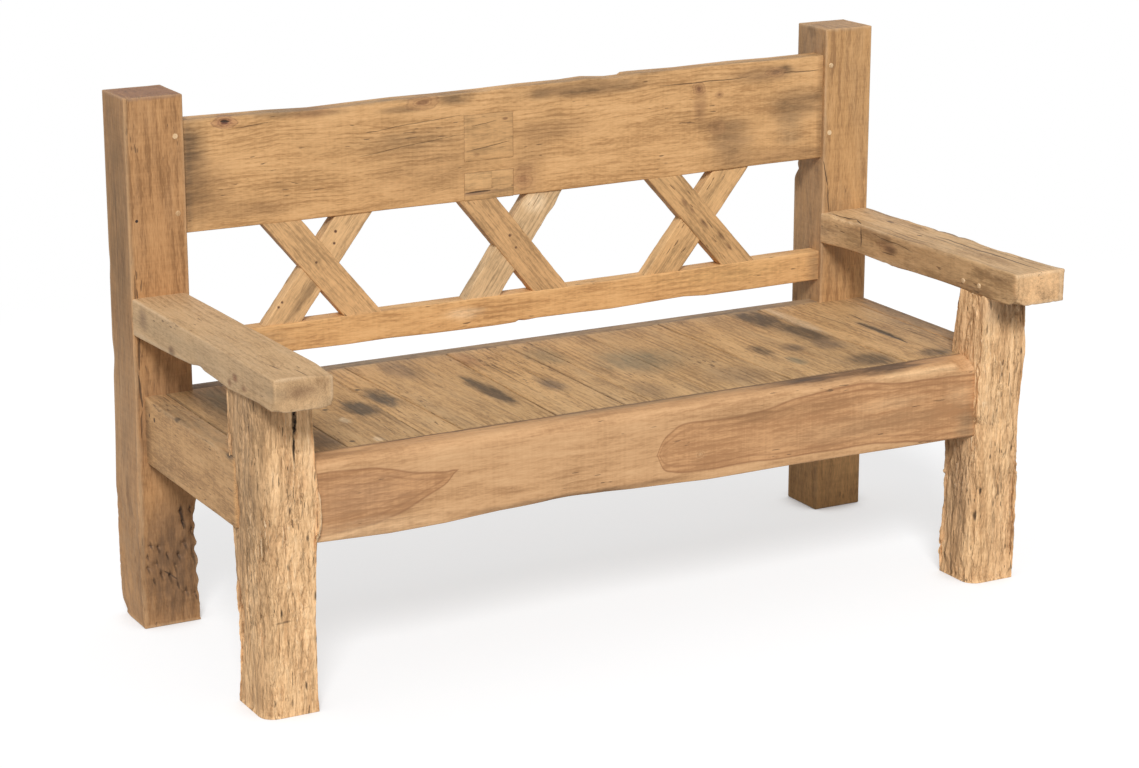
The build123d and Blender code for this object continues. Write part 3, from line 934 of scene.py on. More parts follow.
    def dent(self, falloff: Falloff, *pulls: Sequence[float]) -> None:
        """Pulls the surface near some places, as with proportional editing by hand.

        Args:
            falloff: how the pulls fade.
            pulls: for each its place, its shift and its reach, as seven numbers in millimetres.
        """
        for *place, dx, dy, dz, reach in pulls:
            target = Vector(place) * MM
            verts = bmesh.from_edit_mesh(self.piece.data).verts
            spot = min(verts, key=lambda vertex: (vertex.co - target).length_squared).co.copy()
            self.pick(lambda co: (co - spot).length_squared < 1e-12)
            bpy.ops.transform.translate(value=metres((dx, dy, dz)), use_proportional_edit=True,
                                        proportional_edit_falloff=falloff.value, proportional_size=reach * MM)

    def weigh(self, name: str, weight: Callable[[Vector], float]) -> str:
        """Paints a vertex group.

        Args:
            name: the group's name.
            weight: the weight at a place, in metres.

        Returns:
            The group's name.
        """
        bpy.ops.object.mode_set(mode="OBJECT")
        group = self.piece.vertex_groups.new(name=name)
        levels: dict[float, list[int]] = {}
        for vertex in self.piece.data.vertices:
            levels.setdefault(round(weight(vertex.co), 2), []).append(vertex.index)
        for level, indices in levels.items():
            group.add(indices, min(max(level, 0.0), 1.0), "REPLACE")
        return name

    def roughen(self, group: str, *reliefs: Relief) -> None:
        """Roughens the surface with Displace modifiers and applies them.

        Args:
            group: the vertex group that limits them, or nothing.
            reliefs: the textures, coarse to fine.
        """
        bpy.ops.object.mode_set(mode="OBJECT")
        self.plain = self.plain or [(vertex.co.copy(), vertex.normal.copy()) for vertex in self.piece.data.vertices]
        for relief in reliefs:
            texture = bpy.data.textures.new(self.piece.name, relief.weave.value)
            texture.noise_scale = relief.size * MM
            if relief.weave is Weave.PLATES:
                texture.weight_1, texture.weight_2, texture.noise_intensity = -1, 1, 1.4
            elif relief.weave is Weave.RIDGES:
                texture.musgrave_type, texture.noise_intensity = "RIDGED_MULTIFRACTAL", 0.6
            else:
                texture.noise_type, texture.noise_depth = "HARD_NOISE" if relief.hard else "SOFT_NOISE", 3
            guide = bpy.data.objects.new("relief_guide", None)
            bpy.context.collection.objects.link(guide)
            guide.scale = relief.stretch
            guide.location = (relief.seed, relief.seed * 0.7, relief.seed * 1.3)
            bpy.context.view_layer.update()
            displace = self.piece.modifiers.new("relief", "DISPLACE")
            displace.texture, displace.texture_coords = texture, "OBJECT"
            displace.texture_coords_object = guide
            displace.strength, displace.mid_level = relief.depth * MM, relief.level
            displace.vertex_group = group
            bpy.context.view_layer.objects.active = self.piece
            bpy.ops.object.modifier_apply(modifier="relief")
            bpy.data.objects.remove(guide)
            bpy.data.textures.remove(texture)

    def wear(self, depth: float, seed: float = 0, group: str = "") -> None:
        """Gives the slight unevenness of a planed and worn timber.

        Args:
            depth: how deep it is, in millimetres.
            seed: moves the pattern.
            group: the vertex group that limits it.
        """
        stretch = tuple(7 if axis is self.grain else 1 for axis in Axis)
        self.roughen(group, Relief(Weave.CLOUDS, 60, stretch, depth * 2.4, seed + 1.3),
                     Relief(Weave.CLOUDS, 16, stretch, depth, seed + 4.1))

    def keep_relief(self, rounds: int, depth: float) -> None:
        """Stores how far the roughening left each place proud of its surroundings, or below them.

        Args:
            rounds: how many rings of neighbours count as the surroundings.
            depth: the height that counts as a whole step, in millimetres.
        """
        data = self.piece.data
        pairs = [tuple(edge.vertices) for edge in data.edges]
        count = [0] * len(data.vertices)
        for pair in pairs:
            for index in pair:
                count[index] += 1
        height = [(vertex.co - co).dot(normal) for vertex, (co, normal) in zip(data.vertices, self.plain)]
        smooth = height
        for _ in range(rounds):
            total = [0.0] * len(smooth)
            for a, b in pairs:
                total[a] += smooth[b]
                total[b] += smooth[a]
            smooth = [0.3 * old + 0.7 * mean / max(n, 1) for old, mean, n in zip(smooth, total, count)]
        store = data.attributes.new("relief", "FLOAT", "POINT")
        for value, level, flat in zip(store.data, height, smooth):
            value.value = min(max(0.5 + (level - flat) / (depth * MM) / 2, 0.0), 1.0)

    def finish(self, look: WoodFinish, node: str) -> None:
        """Leaves edit mode, and dresses and hangs the piece in place of a node."""
        bpy.ops.object.mode_set(mode="OBJECT")
        hang(self.piece, look, self.grain, node)


# The settle's sub-assemblies. All their sizes are in millimetres.


@dataclass
class BackPosts:
    """The two sawn posts at the back."""

    left_low: Point = (-762, 242, 0)
    left_high: Point = (-658, 345, 941)
    right_low: Point = (636.8, 242, 0)
    right_high: Point = (740, 339, 953)
    pitch: float = 5
    pits: Sequence[Point] = (
        (-732, 143, 7), (-752, 131, 5), (-735, 117, 6), (-695, 125, 8), (-752, 108, 6), (-728, 94, 7), (-712, 88, 8),
        (-682, 143, 9), (-687, 206, 7), (-684, 183, 8), (-671, 206, 6), (-682, 56, 7), (-666, 48, 6), (-702, 104, 7),
        (-745, 150, 6), (-668, 120, 8), (-716, 128, 5), (-742, 84, 5), (-698, 70, 5), (-668, 165, 8))
    left_outer: Profile = ((0, -763.5), (30, -766.5), (60, -768), (200, -768), (250, -767), (330, -764.8),
                           (430, -763.2), (640, -762.8), (941, -763.2))
    left_back: Profile = ((0, 346), (30, 351), (160, 352.5), (420, 350.5), (700, 348), (941, 346.5))
    right_back: Profile = ((0, 341), (300, 342), (650, 342.5), (700, 339.5), (953, 339))

    def build(self) -> None:
        """Builds and dresses both posts."""
        self.left()
        self.right()

    @staticmethod
    def stand(co: Vector) -> float:
        """Returns a weight that is 0 on the floor and 1 a little over it."""
        return min(co.z / CLEAR, 1.0)

    def left(self) -> None:
        """Builds the left post, whose lower front corner is eaten away."""
        blank = Blank("left_post", self.left_low, self.left_high, Z)
        blank.outline(Z, (Y, HIGH, self.left_back), (X, LOW, self.left_outer))
        blank.refine(self.pitch)
        blank.round_edges(1.8)
        corner = ((188, -5.2, 4.2, 26), (160, -5, 4, 22), (215, -1.6, 1.6, 12), (128, -5, 4, 18), (92, -4.5, 3, 20),
                  (60, -2.5, 2, 14))
        blank.dent(SMOOTH, *((-658, 242, z, dx, dy, 0, reach) for z, dx, dy, reach in corner),
                   (-762, 345, 0, 2, -5, 0, 30), (-762, 345, 470, 1.5, -2.5, 0, 40),
                   (-762, 345, 640, 0.5, -1.8, 0, 30))
        blank.dent(SHARP, *((x, 242, z, 0, 0.8 * size, 0, 1.5 * size) for x, z, size in self.pits))
        foot = blank.weigh("foot", lambda co: min(max((0.235 - co.z) / 0.03, 0.0), 1.0, co.z / CLEAR))
        blank.roughen(foot, Relief(Weave.PLATES, 22, (1, 1, 2.2), 4.6, 2),
                      Relief(Weave.CLOUDS, 9, (1, 1, 2), 2.6, 5, hard=True))
        blank.wear(0.45, group=blank.weigh("stand", self.stand))
        blank.keep_relief(3, 2.4)
        blank.finish(WoodFinish(
            ((0.58, 0.32, 0.14), (0.475, 0.25, 0.105), (0.30, 0.15, 0.06)), 3.1,
            ring=17, weather=0.15, contrast=0.62, fibre=0.5, weather_colour=(0.27, 0.18, 0.11), pits=0.035,
            # Painted shade in the post's hollows and painted highlights on its ridges.
            hollow_shade=(0.11, 0.06, 0.032), ridge=(0.50, 0.30, 0.15), edge=(self.left_low, self.left_high),
            edge_strength=0.25,
            stains=(
                *spots((-762, 300, 720, 6, 60, 270, (0.25, 0.142, 0.064), 0.62, 0.8),
                       (-762, 300, 250, 6, 70, 230, (0.42, 0.26, 0.14), 0.5, 0.8),
                       (-705, 242, 110, 60, 30, 110, (0.17, 0.095, 0.05), 0.6, 0.55, 0.9),
                       (-710, 242, 380, 70, 10, 90, (0.22, 0.13, 0.07), 0.35),
                       (-748, 242, 731, 2.6, 4, 2.6, (0.04, 0.025, 0.02), 0.9, 0.3, 0.2)),
                *(StainAndPaintedLight((x, 242, z), (0.34 * size, 12, 1.5 * size), (0.07, 0.038, 0.02), 0.62, turn=12)
                  for x, z, size in self.pits),
                *spots((-700, 290, 941, 80, 80, 6, (0.265, 0.13, 0.068), 0.75, 0.4))),
            cracks=(
                *cracks(Y, (-755, 242, 640, -757, 242, 540, 1.4, 0.6), (-752, 242, 530, -754, 242, 470, 2.6, 0.7),
                        (-755, 242, 462, -752, 242, 405, 3.2, 0.8), (-753, 242, 398, -756, 242, 350, 2.2, 0.6),
                        (-690, 242, 214, -684, 242, 172, 3.2), (-722, 242, 100, -700, 242, 82, 3, 0.7)),
                *cracks(X, (-760, 300, 820, -760, 304, 520, 1.2, 0.5), (-760, 322, 600, -760, 320, 330, 1.4, 0.5)))),
            "left_back_post")

    def right(self) -> None:
        """Builds the right post, with a curved crack and a nick in its inner back edge."""
        blank = Blank("right_post", self.right_low, self.right_high, Z)
        blank.outline(Z, (Y, HIGH, self.right_back))
        blank.refine(self.pitch)
        blank.round_edges(1.8)
        blank.dent(SHARP, (638, 339, 690, 3, -9, 0, 22), (638, 339, 668, 3, -10, 0, 24))
        blank.dent(SMOOTH, (740, 242, 300, -1.5, 0.5, 0, 60), (638, 242, 640, 1.2, 0.5, 0, 50))
        blank.wear(0.4, 2, blank.weigh("stand", self.stand))
        blank.finish(WoodFinish(
            ((0.62, 0.355, 0.155), (0.53, 0.295, 0.122), (0.36, 0.19, 0.078)), 7.7,
            ring=20, weather=0.12, contrast=0.75, edge=(self.right_low, self.right_high), edge_strength=0.25,
            stains=spots((637, 300, 860, 6, 60, 170, (0.35, 0.215, 0.115), 0.62),
                         (637, 300, 590, 10, 90, 170, (0.35, 0.215, 0.115), 0.5, 0.8),
                         # Painted light: a paler patch lightens the post's foot, which lies in shade under the seat.
                         (690, 242, 130, 70, 60, 150, (0.74, 0.42, 0.175), 0.5, 0.8),
                         (676, 242, 560, 30, 10, 80, (0.30, 0.19, 0.10), 0.4),
                         (690, 290, 953, 60, 60, 6, (0.36, 0.22, 0.12), 0.5)),
            cracks=cracks(Y, (652, 241.5, 600, 648, 241.5, 650, 1.6), (648, 241.5, 650, 638, 243, 700, 1.6))),
            "right_back_post")


@dataclass
class CrestBoard:
    """The broad board at the top of the back, with three repairs let into its face."""

    low: Point = (-664, 251, 698)
    high: Point = (644, 287, 894)
    top: Profile = (
        (-664, 894.2), (-572, 893.1), (-492, 892.2), (-414, 889.8), (-342, 892), (-252, 894.4), (-172, 894.2),
        (-86, 895.3), (-2, 897.7), (84, 898), (128, 900.4), (178, 896.5), (206, 897.2), (213, 901.2), (228, 901.7),
        (328, 901), (442, 903.3), (535, 902.4), (644, 903.5))
    bottom: Profile = (
        (-664, 698.8), (-435, 698.3), (-273, 699.5), (-149, 699.4), (-22, 700.2), (108, 700.2), (197, 701),
        (332, 702.1), (517, 705), (644, 706))
    pitch: float = 9
    recess: float = 5
    inlay_left: float = -125
    inlay_right: float = -26
    upper_low: float = 771
    upper_high: float = 855
    lower_low: float = 699.6
    lower_high: float = 750
    small_right: float = -70
    small_low: float = 718
    gap: float = 0.25

    def build(self) -> None:
        """Builds and dresses the board and its repairs."""
        self.board()
        front, back = 250.7, 255.5
        for name, low, high, seed, light in (
                ("upper", (self.inlay_left, front, self.upper_low), (self.inlay_right, back, self.upper_high),
                 11.3, (0.66, 0.385, 0.17)),
                ("small", (self.inlay_left, front - 0.4, self.small_low), (self.small_right, back, self.lower_high),
                 15.9, (0.70, 0.42, 0.19)),
                ("lower", (self.inlay_left, front + 0.1, self.lower_low),
                 (self.inlay_right, back - 0.2, self.lower_high), 19.2, (0.66, 0.39, 0.175))):
            self.repair(name, low, high, seed, light)

    def sink(self, blank: Blank, low: float, high: float) -> None:
        """Cuts a recess for a repair into the board's face.

        Args:
            blank: the board.
            low: the recess's lower edge.
            high: its upper edge.
        """
        left, right = self.inlay_left - self.gap, self.inlay_right + self.gap
        blank.slice(X, (left, right))
        blank.slice(Z, (low, high))

        def inside(face: bmesh.types.BMFace) -> bool:
            """Tells whether a face is the board's front where the repair lies."""
            centre = face.calc_center_median() / MM
            return face.normal.y < -0.9 and left < centre.x < right and low < centre.z < high

        blank.choose("FACE", inside)
        bpy.ops.mesh.extrude_region_move(TRANSFORM_OT_translate={"value": step(Y, self.recess * MM)})
        bpy.ops.mesh.select_mode(type="VERT")

    def board(self) -> None:
        """Builds the board with its uneven upper edge."""
        blank = Blank("crest_board", self.low, self.high)
        blank.outline(X, (Z, HIGH, self.top), (Z, LOW, self.bottom))
        blank.refine(self.pitch, X, Z, Y)
        blank.round_edges(2.2, wanted=lambda co: -0.66 < co.x < 0.64)
        blank.dent(SMOOTH, (205, 251, 897, 0, 5, -2.5, 16), (224, 251, 897, 0, 3, -1.5, 12),
                   (-90, 251, 895, 0, 1.5, -1.2, 30), (-360, 251, 890, 0, 2, -1.2, 40),
                   (560, 251, 902, 0, 2, -1.5, 26), (-579, 251, 885, 0, 1.6, 0, 12))
        self.sink(blank, self.upper_low - self.gap, self.upper_high + self.gap)
        self.sink(blank, 690, self.lower_high + self.gap)
        blank.wear(0.4, 6)
        grey, black, rust, brown = (0.24, 0.142, 0.068), (0.14, 0.083, 0.042), (0.38, 0.19, 0.085), (0.36, 0.20, 0.088)
        face = self.low[1]
        knots = ((-579, 884, 20, 11, 9, (0.15, 0.055, 0.04), 0.85, (0.42, 0.20, 0.10)),
                 (-202, 885, 28, 11, 8, (0.19, 0.09, 0.045), 0.7), (-6, 730, 17, 17, 30, (0.30, 0.15, 0.07), 0.6),
                 (363, 862, 13, 10, 16, (0.22, 0.10, 0.05), 0.75), (408, 847, 8, 6, 8, (0.28, 0.15, 0.07), 0.7),
                 (403, 785, 17, 13, 20, (0.33, 0.18, 0.08), 0.55), (533, 880, 20, 10, 12, (0.16, 0.09, 0.05), 0.6))
        blank.finish(WoodFinish(
            ((0.74, 0.445, 0.208), (0.65, 0.378, 0.166), (0.46, 0.25, 0.103)), 1.7, ring=8, rings=0.24, waver=34,
            contrast=0.85, pits=0.03, weather=0.42, weather_colour=(0.47, 0.27, 0.115),
            knots=[Knot((x, face, z), (wide, 30, high), *rest) for x, z, wide, high, *rest in knots],
            stains=(
                *marks(Y, face, 20, (-636, 808, 22, 72, grey, 0.62, 0.8, 0.9),
                       (-643, 838, 10, 40, black, 0.45, 0.9, 0.8), (-612, 785, 34, 30, brown, 0.5, 0.9, 1.1),
                       (-617, 738, 48, 22, brown, 0.45, 0.9), (-517, 725, 60, 13, brown, 0.4, 0.9)),
                *marks(Y, face, 60, (-417, 889, 42, 10, rust, 0.65, 0.7, 1), (-470, 889, 50, 6, grey, 0.6, 0.8, 1),
                       (-390, 884, 40, 5, grey, 0.45, 0.9, 1)),
                *marks(Y, face, 20, (-230, 820, 85, 16, (0.36, 0.215, 0.10), 0.45, 0.9, 1.1),
                       (-185, 770, 95, 52, (0.46, 0.265, 0.12), 0.38, 0.95), (-242, 876, 38, 5, grey, 0.6, 0.8, 1)),
                *marks(Y, face, 60, (-145, 886, 34, 9, grey, 0.66, 0.8, 0.9)),
                *marks(Y, 262, 14, (-400, 894, 270, 4.5, (0.26, 0.165, 0.09), 0.6, 0.8, 1.2),
                       (130, 901, 150, 4.5, (0.26, 0.165, 0.09), 0.6, 0.8, 1.2),
                       (500, 904, 150, 3, (0.30, 0.19, 0.10), 0.5, 0.8, 1.2)),
                *marks(Y, face, 60, (120, 884, 112, 14, (0.27, 0.155, 0.072), 0.55, 0.7, 0.8)),
                *marks(Y, face, 30, (33, 882, 20, 9, grey, 0.5, 0.8, 0.8), (110, 880, 42, 8, black, 0.4, 0.9, 0.8),
                       (205, 882, 24, 8, grey, 0.4, 0.9, 0.8)),
                *marks(Y, face, 20, (-6, 728, 30, 30, (0.42, 0.235, 0.11), 0.5, 0.8),
                       (45, 812, 66, 17, brown, 0.42, 0.9, 1.1), (10, 775, 30, 30, brown, 0.3, 0.9),
                       (366, 830, 13, 32, (0.34, 0.18, 0.08), 0.5, 0.6, 0.7),
                       (432, 768, 38, 30, (0.23, 0.135, 0.065), 0.5, 0.7, 0.8),
                       (440, 735, 40, 40, (0.34, 0.20, 0.095), 0.45, 0.8, 0.8),
                       (395, 790, 26, 16, (0.34, 0.19, 0.085), 0.4, 0.8, 0.8)),
                *marks(Y, face, 40, (505, 878, 62, 13, (0.30, 0.17, 0.08), 0.6, 0.7, 0.8),
                       (552, 884, 14, 8, black, 0.6, 0.7, 0.7)),
                *marks(Y, face, 20, (585, 818, 58, 24, (0.26, 0.15, 0.07), 0.6, 0.7, 0.8),
                       (556, 800, 26, 18, (0.22, 0.13, 0.062), 0.4, 0.8, 0.8),
                       (566, 765, 26, 26, (0.34, 0.215, 0.11), 0.4, 0.8), (555, 720, 90, 13, brown, 0.45, 0.8),
                       (634, 800, 7, 120, (0.24, 0.14, 0.065), 0.4, 0.9, 0.6),
                       (-650, 800, 6, 120, (0.15, 0.095, 0.055), 0.35, 0.9, 0.6))),
            cracks=cracks(Y, (278, 250.6, 873, 468, 250.6, 875, 1.3, 0.7), (548, 250.6, 877, 628, 250.6, 876, 1.3, 0.7),
                          (-587, 250.6, 886, -571, 250.6, 884, 3.4, 0.95),
                          (-560, 250.6, 872, -500, 250.6, 876, 1.2, 0.5),
                          (-300, 250.6, 842, -130, 250.6, 858, 1, 0.45),
                          (-330, 250.6, 800, -140, 250.6, 822, 1, 0.4))),
            "crest_rail")

    def repair(self, name: str, low: Point, high: Point, seed: float, light: Colour) -> None:
        """Builds one repair, flush with the board's face.

        Args:
            name: which of the three it is.
            low: its lowest corner.
            high: its highest corner.
            seed: moves its figure.
            light: its lightest colour.
        """
        blank = Blank(f"{name}_repair", low, high)
        blank.refine(self.pitch, X, Z)
        blank.round_edges(0.7, 2)
        blank.wear(0.15, seed)
        blank.finish(WoodFinish(
            tones(light, dark=0.62), seed, cloud=20,
            edge=(low, high), edge_width=2.2, edge_colour=(0.28, 0.15, 0.065), edge_strength=0.45,
            stains=marks(Y, self.low[1], 20, (-42, 843, 5, 2.6, (0.20, 0.10, 0.05), 0.55, 0.5, 0.8),
                         (-100, 782, 6, 3, (0.34, 0.18, 0.08), 0.5, 0.55, 0.9),
                         (-90, 712, 40, 4, (0.26, 0.15, 0.08), 0.6)),
            cracks=cracks(Y, (-122, 250.6, 714, -72, 250.6, 715, 2.2), (-120, 250.6, 790, -32, 250.6, 800, 1.2, 0.5),
                          (-110, 250.6, 834, -60, 250.6, 840, 1, 0.4))),
            f"crest_inlay_{name}")


@dataclass
class LowerBackRail:
    """The narrow rail under the crosses."""

    low: Point = (-664, 251, 463)
    high: Point = (644, 286, 516)
    top: Profile = ((-664, 515), (-424, 516), (-4, 516.6), (218, 517.6), (402, 520), (544, 522), (644, 522.5))
    bottom: Profile = ((-664, 465.5), (-441, 464.5), (-360, 463.2), (-278, 464.4), (-194, 462.3), (-66, 461.5),
                       (-23, 462.3), (21, 465.2), (109, 464.5), (178, 463.4), (289, 466.6), (335, 467.7),
                       (381, 464.5), (475, 464.5), (644, 466))

    def build(self) -> None:
        """Builds and dresses the rail."""
        blank = Blank("lower_rail", self.low, self.high)
        blank.outline(X, (Z, HIGH, self.top), (Z, LOW, self.bottom))
        blank.refine(8)
        blank.round_edges(2.4)
        blank.dent(SMOOTH, (-10, 251, 463, 0, 2, 3, 12), (328, 251, 517, 0, 2, -2.5, 9))
        blank.wear(0.4, 9)
        blank.finish(WoodFinish(
            ((0.77, 0.465, 0.21), (0.69, 0.40, 0.17), (0.50, 0.27, 0.11)), 5.2, ring=10, waver=10, contrast=0.85,
            pits=0.04,
            stains=marks(Y, self.low[1], 20, (-560, 490, 70, 14, (0.46, 0.29, 0.15), 0.5, 0.9),
                         (-128, 492, 34, 10, (0.78, 0.53, 0.30), 0.6, 0.8),
                         (420, 500, 120, 16, (0.72, 0.43, 0.18), 0.5, 0.9),
                         (630, 492, 14, 40, (0.30, 0.18, 0.09), 0.5, 0.9))),
            "lower_back_rail")


@dataclass(frozen=True)
class Slat:
    """One slat of a cross: the x and z of its ends' middles, its width and its marks."""

    name: str
    top: tuple[float, float]
    bottom: tuple[float, float]
    width: float
    seed: float
    light: Colour
    stains: Sequence[StainAndPaintedLight] = ()
    dents: Sequence[Sequence[float]] = ()


def holes(face: float, *rows: Sequence[float]) -> list[StainAndPaintedLight]:
    """Returns the nail holes in a slat's face, from the x, the z and the radius of each."""
    return marks(Y, face, 6, *((x, z, size, size, (0.12, 0.06, 0.035), 0.8, 0.5, 0.5) for x, z, size in rows))


@dataclass
class CrossSlats:
    """The three crosses of half lapped slats."""

    high: float = 704
    low: float = 511
    front: tuple[float, float] = (252, 279)
    rear: tuple[float, float] = (254.5, 279.5)

    def build(self) -> None:
        """Builds and dresses the six slats."""
        front, rear, dark = self.front[0], self.rear[0], (0.22, 0.12, 0.06)
        nicks = ((336, 648, 4, 11), (351, 633, 3, 10), (378, 605, 4, 13), (418, 575, 3, 12), (433, 555, 3, 9))
        for slat in (
                Slat("left_front", (-478.8, 698.9), (-327.8, 516.7), 56.5, 1.1, (0.76, 0.46, 0.215),
                     holes(front, (-416, 620, 2.4))),
                Slat("left_rear", (-340.2, 699.6), (-481.2, 516), 56.4, 2.3, (0.78, 0.49, 0.24),
                     (*holes(rear, (-377, 671, 2.8), (-380, 650, 2.4), (-482, 555, 2.4), (-489, 547, 2.4)),
                      StainAndPaintedLight((-440, rear, 560), (8, 8, 50), (0.26, 0.16, 0.08), 0.5, turn=-38)),
                     ((-417, rear, 570, -4, 2, 3, 14), (-395, rear, 600, -2, 1, 1, 10))),
                Slat("middle_front", (-98.2, 700.8), (49.3, 518.5), 58, 3.7, (0.70, 0.42, 0.195),
                     holes(front, (-33, 627, 3), (-21, 603, 2.4))),
                Slat("middle_rear", (41.6, 701.5), (-88.4, 517.9), 59, 4.9, (0.74, 0.50, 0.27),
                     marks(Y, rear, 8, (20, 680, 20, 16, (0.80, 0.60, 0.38), 0.6)), ((66, rear, 672, 3, 0, -1, 26),)),
                Slat("right_front", (291.5, 702.8), (454, 520.6), 55.2, 5.3, (0.70, 0.42, 0.19),
                     marks(Y, front, 6, *((*nick, dark, 0.6, 0.55, 1.2, 41) for nick in nicks))),
                Slat("right_rear", (437.4, 703.5), (289.9, 519.8), 60.2, 6.1, (0.76, 0.465, 0.215))):
            self.slat(slat)

    def slat(self, slat: Slat) -> None:
        """Builds one slat as a block whose upper end is pushed over."""
        slope = (slat.top[0] - slat.bottom[0]) / (slat.top[1] - slat.bottom[1])
        half = slat.width / 2 * math.hypot(1, slope)
        foot = slat.bottom[0] + slope * (self.low - slat.bottom[1])
        near, far = self.front if slat.name.endswith("front") else self.rear
        blank = Blank(f"{slat.name}_slat", (foot - half, near, self.low), (foot + half, far, self.high), Z)
        blank.pick(lambda co: co.z > 0.65)
        bpy.ops.transform.translate(value=step(X, slope * (self.high - self.low) * MM))
        blank.refine(6, Z, X, Y)
        blank.round_edges(1.8)
        blank.dent(SMOOTH if slat.name == "middle_rear" else SHARP, *slat.dents)
        blank.roughen("", Relief(Weave.CLOUDS, 30, (1, 1, 1), 1.6, slat.seed),
                      Relief(Weave.CLOUDS, 9, (1, 1, 1), 0.7, slat.seed + 2))
        node = slat.name.replace("_", "_cross_") + "_slat"
        blank.finish(WoodFinish(tones(slat.light), slat.seed, lean=-math.degrees(math.atan(slope)), cloud=26, ring=9,
                                waver=12, pits=0.07, stains=slat.stains), node)


